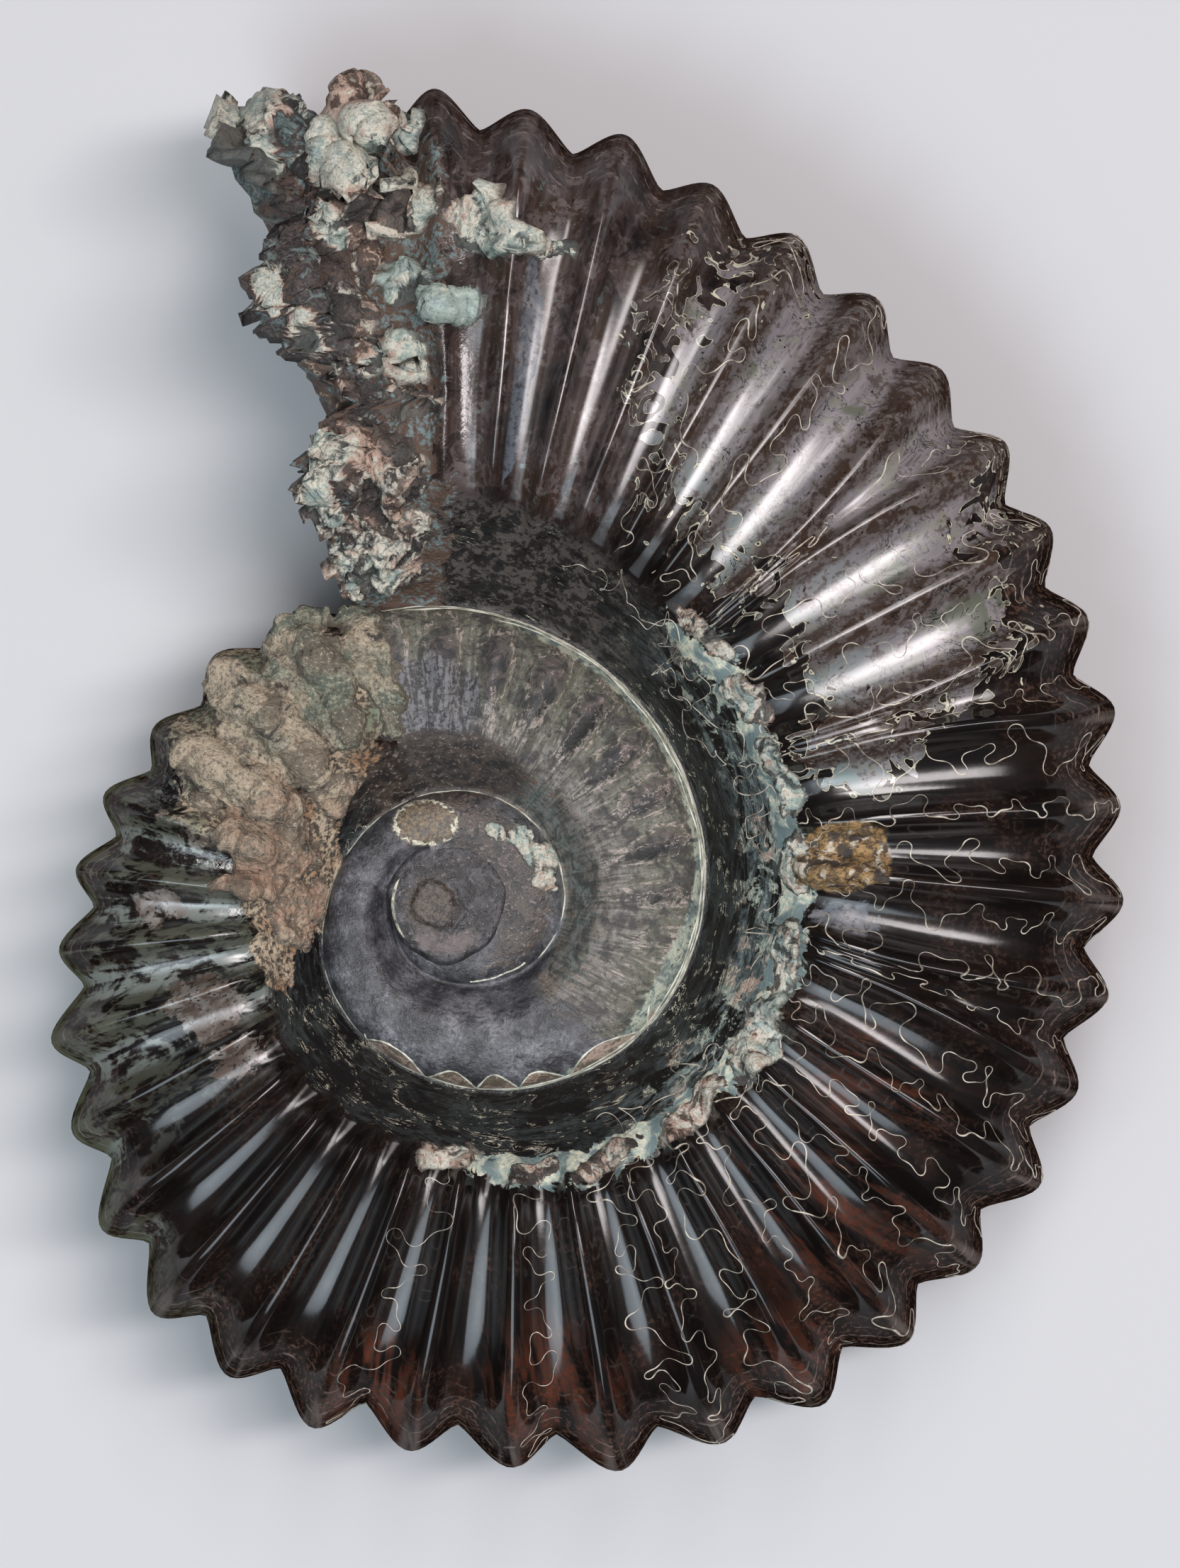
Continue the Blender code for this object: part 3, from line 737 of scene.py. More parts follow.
# Colours, as linear red, green and blue
BLACK = (0.0055, 0.0042, 0.0040)
DEEP_BROWN = (0.015, 0.0092, 0.0070)
SPECK = (0.078, 0.043, 0.031)
# Pale colour painted on the teeth's crests as a highlight
RIDGE_HIGHLIGHT = (0.17, 0.145, 0.130)
OXBLOOD = (0.13, 0.030, 0.014)
OLIVE = (0.092, 0.097, 0.072)
VALLEY_GREEN = (0.180, 0.200, 0.180)
GREY_GREEN = (0.165, 0.163, 0.120)
GREY_TEAL = (0.155, 0.195, 0.188)
EDGE_OLIVE = (0.125, 0.128, 0.080)
MAUVE_GREY = (0.225, 0.196, 0.200)
DEEP_GREY = (0.135, 0.124, 0.132)
CREST_BROWN = (0.040, 0.023, 0.016)
PURPLE_BROWN = (0.070, 0.052, 0.050)
BLUE_GREY = (0.085, 0.098, 0.115)
PALE_GREY = (0.165, 0.162, 0.170)
SAND_PALE = (0.40, 0.325, 0.235)
SAND_GREEN = (0.17, 0.19, 0.135)
SAND_RUST = (0.30, 0.165, 0.090)
GOLD_PALE = (0.34, 0.21, 0.085)
GOLD_DARK = (0.080, 0.048, 0.024)
CREAM = (0.60, 0.56, 0.43)
SAGE = (0.34, 0.40, 0.34)
PALE_TEAL = (0.38, 0.47, 0.45)
BONE = (0.56, 0.54, 0.46)
TEAL = (0.135, 0.180, 0.178)
SLATE = (0.092, 0.091, 0.100)
# The next colour is a soft highlight painted on the slate
LILAC_HIGHLIGHT = (0.225, 0.221, 0.242)
SLATE_DARK = (0.024, 0.023, 0.026)
DUST = (0.42, 0.34, 0.30)
INNER_BROWN = (0.072, 0.060, 0.048)
INNER_GREY = (0.185, 0.172, 0.150)
WALL_TEAL = (0.150, 0.182, 0.178)
INNER_OLIVE = (0.110, 0.112, 0.078)
BAND_GREEN = (0.42, 0.46, 0.36)
MARK_MAUVE = (0.100, 0.078, 0.072)
STAIN_BROWN = (0.095, 0.064, 0.048)
STAIN_GREY = (0.22, 0.195, 0.175)
ROCK_BROWN = (0.080, 0.050, 0.036)
MOSS = (0.045, 0.056, 0.048)
PINK_TAN = (0.40, 0.28, 0.22)
RUST = (0.16, 0.075, 0.038)
# The next colour is a pale highlight painted on the brown ribs by the mouth
BROWN_HIGHLIGHT = (0.135, 0.108, 0.104)
CREST_TAUPE = (0.105, 0.088, 0.082)
WALL_SHADE = (0.055, 0.068, 0.067)
WALL_SOOT = (0.018, 0.015, 0.014)
WALL_TAUPE = (0.082, 0.070, 0.062)
STREAK_DARK = (0.016, 0.013, 0.012)
STREAK_BROWN = (0.062, 0.046, 0.036)
WARM_GREY = (0.225, 0.175, 0.140)
LACE_BROWN = (0.13, 0.105, 0.072)
OVAL_TAN = (0.20, 0.145, 0.085)
SATIN_DARK = (0.050, 0.045, 0.048)
SATIN_GREY = (0.055, 0.050, 0.053)
# The next colour is a pale crescent painted as a highlight on the first chamber
CRESCENT_HIGHLIGHT_TAN = (0.20, 0.155, 0.140)
KNOB_DARK = (0.030, 0.022, 0.018)
KNOB_BROWN = (0.105, 0.078, 0.058)
ROCK_GREEN = (0.05, 0.06, 0.055)
SAGE_DARK = (0.24, 0.29, 0.265)
BONE_DARK = (0.43, 0.41, 0.33)
FLAKE_BLACK = (0.018, 0.015, 0.015)
FLAKE_BROWN = (0.085, 0.066, 0.060)
FLAKE_DEEP_TEAL = (0.035, 0.048, 0.046)
FLAKE_TEAL = (0.13, 0.17, 0.165)
# A highlight painted on flake edges, then shade painted in the crusts' hollows and crevices
FLAKE_HIGHLIGHT_CREAM = (0.58, 0.54, 0.45)
HOLLOW_SHADE_BLACK = (0.022, 0.019, 0.018)
CREVICE_SHADE_BROWN = (0.030, 0.026, 0.023)
THIN_BROWN = (0.035, 0.028, 0.024)
GRIT_BROWN = (0.06, 0.052, 0.043)
SILT_GREEN = (0.105, 0.122, 0.095)
SILT_PALE = (0.235, 0.250, 0.185)
SILT_RUST = (0.33, 0.215, 0.150)
SILT_BUFF = (0.19, 0.165, 0.125)
SILT_SHADE = (0.105, 0.085, 0.064)
SILT_BROWN = (0.070, 0.058, 0.047)
SILT_DARK = (0.035, 0.032, 0.032)
GRAIN_DARK = (0.10, 0.078, 0.054)
GRAIN_PALE = (0.60, 0.52, 0.40)
SUTURE_DIM = (0.15, 0.125, 0.095)
SUTURE_PALE = (0.56, 0.50, 0.41)
SEAM_DIM = (0.34, 0.34, 0.27)
SEAM_PALE = (0.66, 0.66, 0.56)


def shell_material():
    """The last turn: black, with fields of olive, red, brown and grey that noise frays."""
    g = Graph("polished_shell", 2.0)
    crest = g.value("crest")
    share = g.value("share")
    coarse = g.noise(7.0, 3.0)
    medium = g.noise(2.2, 4.0, 0.6, 0.6)
    border = g.noise(3.4, 5.0, 0.62, 1.4)
    fine = g.noise(0.55, 3.0, 0.65)
    streak = g.noise(1.0, 4.0, 0.6, 0.8, g.streaks(9.0, 1.6))
    thin_streak = g.noise(1.0, 3.0, 0.6, 0.3, g.streaks(12.0, 0.5, 4.0))
    margin = g.frayed(0.62, 0.92, share, (coarse, 0.3))

    grainy = g.sum(g.times(margin, 0.9), g.times(g.step(coarse, 0.45, 0.7), 0.5))
    deep = g.step(g.sum(streak, g.times(coarse, 0.6)), 0.66, 0.92)
    colour = g.mix(g.sum(g.times(deep, 0.6), g.times(margin, 0.4)), BLACK, DEEP_BROWN)
    colour = g.coat(colour, SPECK, g.times(g.step(fine, 0.49, 0.63), grainy))
    # Painted highlight: a pale line along the crests of the teeth near the outer edge
    ridge_highlight = g.times(g.times(g.step(crest, 0.84, 0.97), g.step(share, 0.70, 0.86)), g.step(streak, 0.40, 0.60))
    colour = g.coat(colour, RIDGE_HIGHLIGHT, ridge_highlight, 0.7)
    red = g.times("red", g.step(g.sum(streak, g.times(coarse, 0.35)), 0.62, 0.8))
    colour = g.coat(colour, g.mix(g.step(fine, 0.4, 0.6), SPECK, OXBLOOD), red, 0.85)

    olive_field = g.value("olive")
    patchy = g.frayed(0.44, 0.6, border, (streak, 0.7), (fine, 0.2))
    green = g.mix(g.step(crest, 0.3, 0.08), OLIVE, VALLEY_GREEN)
    colour = g.coat(colour, green, g.times(olive_field, patchy), 0.85)
    olive_edge = g.times(olive_field, g.times(g.step(share, 0.80, 0.93), g.step(medium, 0.36, 0.56)))
    colour = g.coat(colour, EDGE_OLIVE, olive_edge, 0.9)

    brown = g.times("brown", g.step(g.sum(coarse, g.times(streak, 0.5)), 0.48, 0.85))
    colour = g.coat(colour, brown_finish(g, medium, border, fine, thin_streak), brown)

    lobes = g.noise(3.0, 1.5, 0.5, 1.6)
    grey_field = g.value("grey")
    grey_level = g.times(g.shaken(grey_field, (lobes, 1.7), (medium, 0.12)), g.step(grey_field, 0.0, 0.06))
    grey = g.step(grey_level, 0.47, 0.53)
    grey_over = grey_finish(g, coarse, medium, border, fine, streak, thin_streak)
    colour = g.coat(colour, grey_over, grey)
    outline = g.times(g.line(grey_level, 0.46, 0.03), g.times(g.step(medium, 0.36, 0.5), 0.8))
    colour = g.coat(colour, CREAM, outline)

    panel = g.times(g.frayed(0.44, 0.58, "panel", (border, 1.2), (streak, 0.7)), g.step(crest, 0.5, 0.3))
    satin = g.mix(g.step(medium, 0.42, 0.6), SLATE, PALE_GREY)
    panel_colour = g.mix(g.frayed(0.4, 0.7, streak, (medium, 0.8)), BLUE_GREY, satin)
    panel_colour = g.coat(panel_colour, DEEP_BROWN, g.step(fine, 0.5, 0.36), 0.7)
    colour = g.coat(colour, panel_colour, panel)
    edge_lines = g.math("SINE", g.times(g.shaken(share, (coarse, 0.12)), 120.0))
    edge_lines = g.times(g.times(g.step(edge_lines, 0.90, 0.99), margin), g.step(medium, 0.46, 0.56))
    colour = g.coat(colour, DUST, edge_lines, 0.4)

    wall = g.value("wall")
    colour = g.coat(colour, wall_finish(g, coarse, medium, border, fine), wall)

    rim = g.frayed(0.52, 0.6, "rim", (border, 1.6))
    rim_colour = g.mix(g.step(medium, 0.42, 0.6), TEAL, g.mix(g.step(fine, 0.4, 0.62), SAGE, CREAM))
    colour = g.coat(colour, rim_colour, rim)

    gold = g.frayed(0.44, 0.56, "gold", (border, 0.6))
    colour = g.coat(colour, ochre(g, fine), gold)
    stain = g.frayed(0.46, 0.6, "stain", (border, 1.8), (fine, 0.4))
    stain_colour = g.mix(g.step(medium, 0.44, 0.58), STAIN_BROWN, STAIN_GREY)
    colour = g.coat(colour, g.mix(g.step(fine, 0.46, 0.36), stain_colour, DEEP_BROWN), stain, 0.9)
    sand = g.frayed(0.46, 0.54, "sand", (border, 0.9))
    rusty = g.mix(g.step(share, -0.1, 0.25), SAND_RUST, SAND_GREEN)
    sand_colour = g.mix(g.step(coarse, 0.42, 0.6), SAND_PALE, rusty)
    sand_colour = g.coat(sand_colour, INNER_BROWN, g.step(fine, 0.58, 0.42))
    colour = g.coat(colour, sand_colour, sand)

    worn = g.frayed(0.45, 0.55, "worn", (border, 1.6))
    worn_colour = g.mix(g.step(medium, 0.42, 0.56), ROCK_BROWN, g.mix(g.step(fine, 0.4, 0.6), TEAL, SPECK))
    colour = g.coat(colour, worn_colour, worn)

    matt = g.most(g.most(sand, g.times(rim, 0.9)), g.most(g.times(gold, 0.7), g.times(worn, 0.85)))
    gloss = g.shaken(g.blend(g.step(crest, 0.5, 0.15), 0.1, 0.15), (coarse, 0.08))
    roughness = g.blend(g.most(grey, g.times(panel, 0.9)), gloss, 0.32)
    roughness = g.blend(g.times("brown", 0.8), roughness, 0.26)
    roughness = g.blend(g.times(g.times(olive_field, patchy), 0.6), roughness, 0.28)
    roughness = g.blend(g.times(stain, 0.7), roughness, 0.42)
    roughness = g.blend(g.times(wall, 0.9), roughness, 0.45)
    roughness = g.sum(g.blend(matt, roughness, 0.85), g.times(g.sum(fine, -0.5), 0.06))
    steep = g.times(g.times(g.step(crest, 0.20, 0.42), g.step(crest, 0.99, 0.90)), 0.75)
    dull = g.most(g.most(matt, g.times(wall, 0.6)), g.most(steep, g.step(share, 0.54, 0.74)))
    dull = g.most(dull, g.times(g.frayed(0.17, 0.07, share, (medium, 0.12)), 0.85))
    dull = g.most(dull, g.times(panel, 0.7))
    mirror = g.times(g.blend(dull, 0.5, 0.05), g.step(share, 0.86, 0.70))
    g.set(g.shader.inputs["Specular IOR Level"], mirror)
    rough_parts = g.sum(g.most("sand", "worn"), g.times(wall, 0.5))
    relief = g.times(g.noise(0.5, 2.0), g.sum(rough_parts, 0.012))
    return g.finish(colour, roughness, relief, 0.3)


def brown_finish(g, medium, border, fine, thin_streak):
    """The ribs next to the mouth: brown with patches of painted pale highlight, dark veins and specks of
    teal.
    """
    colour = g.mix(g.frayed(0.36, 0.64, thin_streak, (border, 1.2)), PURPLE_BROWN, CREST_BROWN)
    # Painted highlight: pale greyish-pink patches over the brown
    colour = g.coat(colour, BROWN_HIGHLIGHT, g.frayed(0.5, 0.62, medium, (fine, 0.5)), 0.7)
    colour = g.coat(colour, DEEP_BROWN, g.step(border, 0.47, 0.38), 0.85)
    return g.coat(colour, TEAL, g.frayed(0.62, 0.7, border, (fine, 0.3)), 0.6)


def grey_finish(g, coarse, medium, border, fine, streak, thin_streak):
    """The grey lobes: mauve and teal on the flanks, brown crests, black cracks and small pits."""
    colour = g.mix(g.step(streak, 0.3, 0.7), MAUVE_GREY, DEEP_GREY)
    wrinkle = g.times(g.line(thin_streak, 0.5, 0.03), g.step(medium, 0.45, 0.6))
    colour = g.coat(colour, CREST_BROWN, wrinkle, 0.6)
    teal = g.times(g.frayed(0.46, 0.14, "share", (coarse, 0.4)), g.step(medium, 0.3, 0.55))
    colour = g.coat(colour, GREY_TEAL, teal)
    colour = g.coat(colour, GREY_GREEN, g.frayed(0.52, 0.64, border, (fine, 0.4)), 0.7)
    colour = g.coat(colour, OLIVE, g.step(g.sum(coarse, g.times(medium, 0.4)), 0.78, 0.86))
    colour = g.coat(colour, CREST_BROWN, g.frayed(0.44, 0.32, medium, (fine, 0.8)), 0.7)
    valley = g.frayed(0.44, 0.14, "crest", (medium, 0.9), (border, 0.7))
    crest_colour = g.mix(g.frayed(0.44, 0.6, medium, (fine, 0.7)), CREST_BROWN, CREST_TAUPE)
    colour = g.mix(valley, crest_colour, colour)
    colour = g.coat(colour, BLACK, g.times(g.line(border, 0.52, 0.014), g.step(coarse, 0.42, 0.55)))
    return g.coat(colour, BLACK, g.step(g.cells(1.2), 0.13, 0.08))


def wall_finish(g, coarse, medium, border, fine):
    """The wall down to the seam: teal and sage ripples on black, rough near the mouth, dark at its start."""
    sweep = {0: g.times("angle", 0.09), 1: g.times("share", 9.0), 2: 2.0}
    ripple = g.noise(1.0, 5.0, 0.65, 1.4, g.node("ShaderNodeCombineXYZ", sweep).outputs[0])
    teal_streak = g.times(g.frayed(0.42, 0.6, ripple, (coarse, 0.5)), g.sum("teal", 0.2))
    colour = g.mix(teal_streak, BLACK, g.mix(g.step(medium, 0.35, 0.6), WALL_SHADE, WALL_TEAL))
    sage_blotch = g.times(g.times(g.frayed(0.52, 0.6, border, (fine, 0.5)), "teal"), 0.75)
    colour = g.coat(colour, g.mix(g.step(coarse, 0.45, 0.58), SAGE, PINK_TAN), sage_blotch)
    colour = g.coat(colour, BLACK, g.line(ripple, 0.57, 0.022), 0.85)
    fleck = g.times(g.line(ripple, 0.47, 0.012), g.step(border, 0.5, 0.6))
    colour = g.coat(colour, CREAM, fleck)
    angle = g.shaken("angle", (border, 45.0))
    near_mouth = g.times(g.step(angle, 405.0, 425.0), g.step(medium, 0.36, 0.5))
    rough = g.mix(g.frayed(0.46, 0.62, fine, (medium, 1.0)), WALL_SOOT, WALL_TAUPE)
    colour = g.coat(colour, rough, near_mouth, 0.9)
    return g.coat(colour, dark_streaks(g, medium, fine), g.step(angle, 140.0, 118.0))


def ochre(g, fine):
    """Grainy ochre, for the patch on the right shoulder and the crust there."""
    grain = g.shaken(g.noise(0.8, 4.0, 0.65, 0.8), (fine, 0.5))
    return g.mix(g.step(grain, 0.38, 0.62), GOLD_DARK, GOLD_PALE)


def dark_streaks(g, medium, fine):
    """Colour of the dark, streaky rock at the foot of the inner wall."""
    streaky = g.mix(g.step(medium, 0.36, 0.62), STREAK_DARK, STREAK_BROWN)
    return g.mix(g.times(g.step(fine, 0.56, 0.66), 0.35), streaky, DUST)


def inner_material():
    """The inner turns: satin slate at the bottom, streaky grey-brown at the top and right."""
    g = Graph("inner_turns", 1.6)
    coarse = g.noise(4.0, 3.0)
    medium = g.noise(1.6, 4.0, 0.62, 0.8)
    fine = g.noise(0.42, 3.0, 0.75)
    spokes = g.noise(1.0, 4.0, 0.65, 1.6, g.streaks(4.5, 1.6, 7.0))
    edge = g.noise(0.9, 4.0, 0.65, 1.5)
    out = g.shaken("coil_radius", (coarse, 5.0), (medium, 4.0))

    slate_colour = g.mix(g.frayed(0.34, 0.68, coarse, (medium, 0.9)), SLATE_DARK, SLATE)
    # Painted soft highlights: pale lilac blotches on the slate
    slate_colour = g.coat(slate_colour, LILAC_HIGHLIGHT, g.frayed(0.56, 0.74, coarse, (fine, 0.7)), 0.7)
    slate_colour = g.coat(slate_colour, PALE_GREY, g.step(fine, 0.54, 0.68), 0.4)
    slate_colour = g.coat(slate_colour, BLACK, g.step(fine, 0.44, 0.32), 0.6)
    dusty = g.mix(g.frayed(0.36, 0.64, spokes, (medium, 0.6)), INNER_BROWN, INNER_GREY)
    dusty = g.coat(dusty, INNER_OLIVE, g.step(out, 17.5, 20.5), 0.65)
    dusty = g.coat(dusty, WARM_GREY, g.times(g.step(out, 17.0, 14.5), g.step(spokes, 0.42, 0.6)))
    dusty = g.coat(dusty, DUST, g.times(g.step(fine, 0.52, 0.64), g.step(spokes, 0.46, 0.6)), 0.55)
    dusty = g.coat(dusty, SLATE_DARK, g.frayed(0.5, 0.36, coarse, (medium, 1.0)), 0.65)
    dusty = g.coat(dusty, SLATE_DARK, g.step(fine, 0.46, 0.34), 0.7)
    marks = g.shaken("crest", (spokes, 0.9), (coarse, 1.1))
    mark_colour = g.mix(g.step(medium, 0.42, 0.6), SLATE_DARK, MARK_MAUVE)
    dusty = g.coat(dusty, mark_colour, g.step(marks, 0.38, 0.7), 0.8)
    mark_edge = g.times(g.line(marks, 0.33, 0.05), g.times(g.step(medium, 0.44, 0.54), 0.8))
    dusty = g.coat(dusty, DUST, mark_edge)
    # Painted shadow: black on one side of each inner rib, with a pale line along its edge
    lee = g.shaken("lee", (edge, 1.5), (medium, 1.5))
    dusty = g.coat(dusty, BLACK, g.step(lee, 0.5, 0.8), 0.92)
    dusty = g.coat(dusty, DUST, g.times(g.line(lee, 0.42, 0.06), g.times(g.step(spokes, 0.44, 0.54), 0.8)))
    pale = g.times(g.frayed(0.5, 0.8, "pale", (spokes, 1.2)), g.step(fine, 0.36, 0.52))
    dusty = g.coat(dusty, DUST, pale)
    colour = g.mix(g.frayed(0.34, 0.66, "slate", (medium, 1.4)), dusty, slate_colour)

    moss = g.times("moss", g.step(fine, 0.36, 0.52))
    colour = g.coat(colour, g.mix(g.step(medium, 0.45, 0.62), MOSS, TEAL), moss, 0.8)
    plate = g.frayed(0.42, 0.62, "plate", (medium, 1.6), (spokes, 1.7))
    plate_colour = g.mix(g.frayed(0.4, 0.6, spokes, (fine, 0.8)), SLATE_DARK, PALE_GREY)
    plate_colour = g.coat(plate_colour, SLATE_DARK, g.step(fine, 0.48, 0.36), 0.5)
    colour = g.coat(colour, plate_colour, plate, 0.8)
    colour = g.coat(colour, dark_streaks(g, medium, fine), g.frayed(0.38, 0.66, "dark", (medium, 1.1)))
    rust_spots = g.times(g.step("moss", 0.1, 0.5), g.step(g.sum(medium, g.times(fine, 0.4)), 0.82, 0.88))
    colour = g.coat(colour, RUST, rust_spots, 0.8)

    band = g.times(g.frayed(0.3, 0.62, "band", (medium, 0.9)), g.step(fine, 0.3, 0.48))
    colour = g.coat(colour, g.mix(g.step(medium, 0.4, 0.56), TEAL, BAND_GREEN), band, 0.85)
    lace = g.times(g.frayed(0.4, 0.6, "lace", (fine, 0.5)), 0.85)
    colour = g.coat(colour, g.mix(g.frayed(0.44, 0.58, medium, (fine, 0.6)), LACE_BROWN, PINK_TAN), lace)
    oval = g.shaken("oval", (medium, 0.9), (fine, 0.3))
    colour = g.coat(colour, g.mix(g.step(fine, 0.4, 0.62), INNER_BROWN, OVAL_TAN), g.step(oval, 1.0, 0.9))
    colour = g.coat(colour, CREAM, g.times(g.line(oval, 1.0, 0.1), g.step(medium, 0.46, 0.56)))
    roughness = g.sum(g.blend("slate", 0.62, 0.38), g.times(fine, 0.14))
    return g.finish(colour, roughness, g.sum(g.times(fine, 0.5), g.times(medium, 0.5)), 0.3)


def heart_material():
    """The first chamber: dark satin, a pale crescent painted as a highlight, and a brown knob in a thin,
    broken pale ring, a painted highlight on the dome's left edge.
    """
    g = Graph("first_chamber", 1.6)
    medium = g.noise(1.4, 4.0, 0.62, 0.8)
    fine = g.noise(0.4, 3.0, 0.75)
    colour = g.mix(g.step(medium, 0.40, 0.68), BLACK, SATIN_DARK)
    colour = g.coat(colour, DUST, g.step(fine, 0.56, 0.7), 0.4)
    # Painted highlight: a soft pale crescent low on the dome
    crescent_highlight = g.frayed(0.35, 0.95, "crescent_highlight", (medium, 1.8), (fine, 0.8))
    colour = g.coat(colour, CRESCENT_HIGHLIGHT_TAN, crescent_highlight, 0.5)
    # Painted highlight: a thin pale line along the dome's left edge
    colour = g.coat(colour, CREAM, g.frayed(0.4, 0.6, "arc", (medium, 0.9)))
    satin = g.mix(g.step(fine, 0.5, 0.66), SATIN_GREY, SLATE)
    outside = g.mix(g.step(medium, 0.4, 0.64), SLATE_DARK, satin)
    colour = g.coat(colour, outside, g.frayed(0.78, 0.98, "chamber", (medium, 0.7)))
    knob = g.shaken("heart", (medium, 1.3), (fine, 0.4))
    colour = g.coat(colour, g.mix(g.step(fine, 0.4, 0.62), KNOB_DARK, KNOB_BROWN), g.step(knob, 1.3, 0.6))
    return g.finish(colour, g.blend(fine, 0.36, 0.6), g.shaken(fine, (medium, 1.0)), 0.16)


def rock_material():
    """The broken face inside the mouth."""
    g = Graph("broken_rock")
    coarse = g.noise(4.0, 3.0)
    medium = g.noise(1.4, 4.0, 0.65, 1.0)
    fine = g.noise(0.4, 3.0, 0.7)
    colour = g.mix(g.step(coarse, 0.42, 0.58), ROCK_BROWN, g.mix(g.step(medium, 0.4, 0.6), ROCK_GREEN, TEAL))
    colour = g.coat(colour, SAND_PALE, g.times(g.step(medium, 0.55, 0.66), g.step(fine, 0.4, 0.6)))
    colour = g.coat(colour, BLACK, g.step(medium, 0.42, 0.34))
    return g.finish(colour, g.blend(medium, 0.4, 0.9), g.sum(medium, g.times(fine, 0.5)), 0.4)


def drop_unused(faces, count):
    """The numbers of the vertices that the faces use, and the faces with those vertices counted afresh."""
    used = np.unique([v for face in faces for v in face])
    renumber = np.zeros(count, int)
    renumber[used] = np.arange(len(used))
    return used, [[int(renumber[v]) for v in face] for face in faces]


def make_shell():
    surface = shell_surface()
    used, faces = drop_unused(surface.faces, len(surface.points))
    points = surface.points[used]
    values = surface.values[used]
    found = {**finish_values(values, points[:, 2]), **inner_values(points)}
    turn = values[:, 4]
    kinds = [2 if max(turn[face]) > 2.5 else 1 if min(turn[face]) < 1.5 else 0 for face in faces]
    materials = (shell_material(), inner_material(), rock_material())
    return make_piece("ammonite_shell", points, faces, materials, found, kinds)


def phase_of(angle):
    """Rib number, with fractions, of a rib tip's angle."""
    tips = np.array(RIB_TIPS)
    return np.interp(angle, tips[:, 1], tips[:, 0])


def close_slab(top, bottom, keep):
    """Points and faces of closed thin pieces between two grids, over the cells to keep."""
    count = top.shape[0] * top.shape[1]
    number = np.arange(count).reshape(top.shape[:2])
    cells = np.stack([number[:-1, :-1], number[:-1, 1:], number[1:, 1:], number[1:, :-1]], axis=-1)[keep]
    border = {}
    for cell in cells.tolist():
        for start, end in zip(cell, cell[1:] + cell[:1]):
            if border.pop((end, start), None) is None:
                border[(start, end)] = True
    walls = [(end, start, start + count, end + count) for start, end in border]
    faces = cells.tolist() + (cells[:, ::-1] + count).tolist() + [list(wall) for wall in walls]
    used, faces = drop_unused(faces, 2 * count)
    points = np.concatenate([top.reshape(-1, 3), bottom.reshape(-1, 3)])[used]
    return points, faces, used % count


# The first chamber: its radius, how high its top, edge and foot are, how far its skirt hangs, and the knob in
# its middle, all in mm
HEART_RADIUS = 5.9
HEART_TOP = 4.0
HEART_EDGE = 3.3
HEART_FOOT = 0.6
HEART_SKIRT = 0.6
KNOB_RADIUS = 2.5
KNOB_HEIGHT = 0.4
KNOB_ASIDE = 1.3


def make_heart():
    """A low dome over the first turns, with a knob in its middle."""
    angle = np.radians(np.linspace(0, TURN, 121)[:-1])[:, None]
    share = np.linspace(0.02, 1, 34)[None, :]
    uneven = 1 + 0.05 * np.sin(angle + 0.6) + 0.03 * np.sin(3 * angle) + 0.02 * np.sin(7 * angle)
    radius = share * HEART_RADIUS * uneven
    flat = np.stack([radius * np.cos(angle), radius * np.sin(angle), 0 * radius], axis=-1)
    dome = HEART_EDGE + (HEART_TOP - HEART_EDGE) * np.sqrt(1 - share ** 2)
    knob_radius = np.hypot(flat[..., 0] + KNOB_ASIDE, flat[..., 1])
    knob_radius = knob_radius * (1 + 0.10 * np.sin(2 * angle + 0.5) + 0.06 * np.sin(5 * angle))
    knob = KNOB_HEIGHT * ease(KNOB_RADIUS + 0.3, KNOB_RADIUS - 0.9, knob_radius)
    groove = 0.2 * np.exp(-((knob_radius - KNOB_RADIUS - 0.35 * np.sin(angle + 2)) / 0.3) ** 2)
    height = dome + knob - groove + 0.09 * noise_at(flat, 1.3, 61, 3)
    skirt = HEART_SKIRT * ease(0.9, 1, share) ** 2
    flat[..., 2] = height - skirt
    surface = Surface()
    none = np.zeros(flat.shape[:2] + (5,))
    ring = surface.add(flat, none)
    around = np.concatenate([ring, ring[:1]])
    surface.fill_grid(around, 1)
    low = surface.add(flat[:, -1] * (1, 1, 0) + (0, 0, HEART_FOOT), none[:, 0])
    surface.fill_grid(np.stack([around[:, -1], np.append(low, low[0])], axis=1), 1)
    top, bottom = surface.add(np.array([(0, 0, height[0, 0]), (0, 0, HEART_FOOT)]), none[0, :2])
    for i in range(len(angle)):
        surface.triangle((top, around[i, 0], around[i + 1, 0]), 1)
        surface.triangle((bottom, low[(i + 1) % len(low)], low[i]), 1)
    x, y = surface.points[:, 0], surface.points[:, 1]
    around_pole = np.degrees(np.arctan2(y, x)) % TURN
    found = {"heart": np.hypot(x + KNOB_ASIDE, y) / KNOB_RADIUS, "chamber": np.hypot(x, y) / HEART_RADIUS}
    # Where the painted highlights lie: a soft crescent low on the dome and a thin line on its left edge
    found["crescent_highlight"] = patch(around_pole, np.hypot(x, y), 262, 3.9, 62, 1.1)
    arc = np.exp(-((np.hypot(x, y) - 5.1) / 0.16) ** 2) * ease(140, 160, around_pole)
    found["arc"] = arc * ease(235, 205, around_pole)
    return make_piece("first_chamber", surface.points, surface.faces, [heart_material()], found)


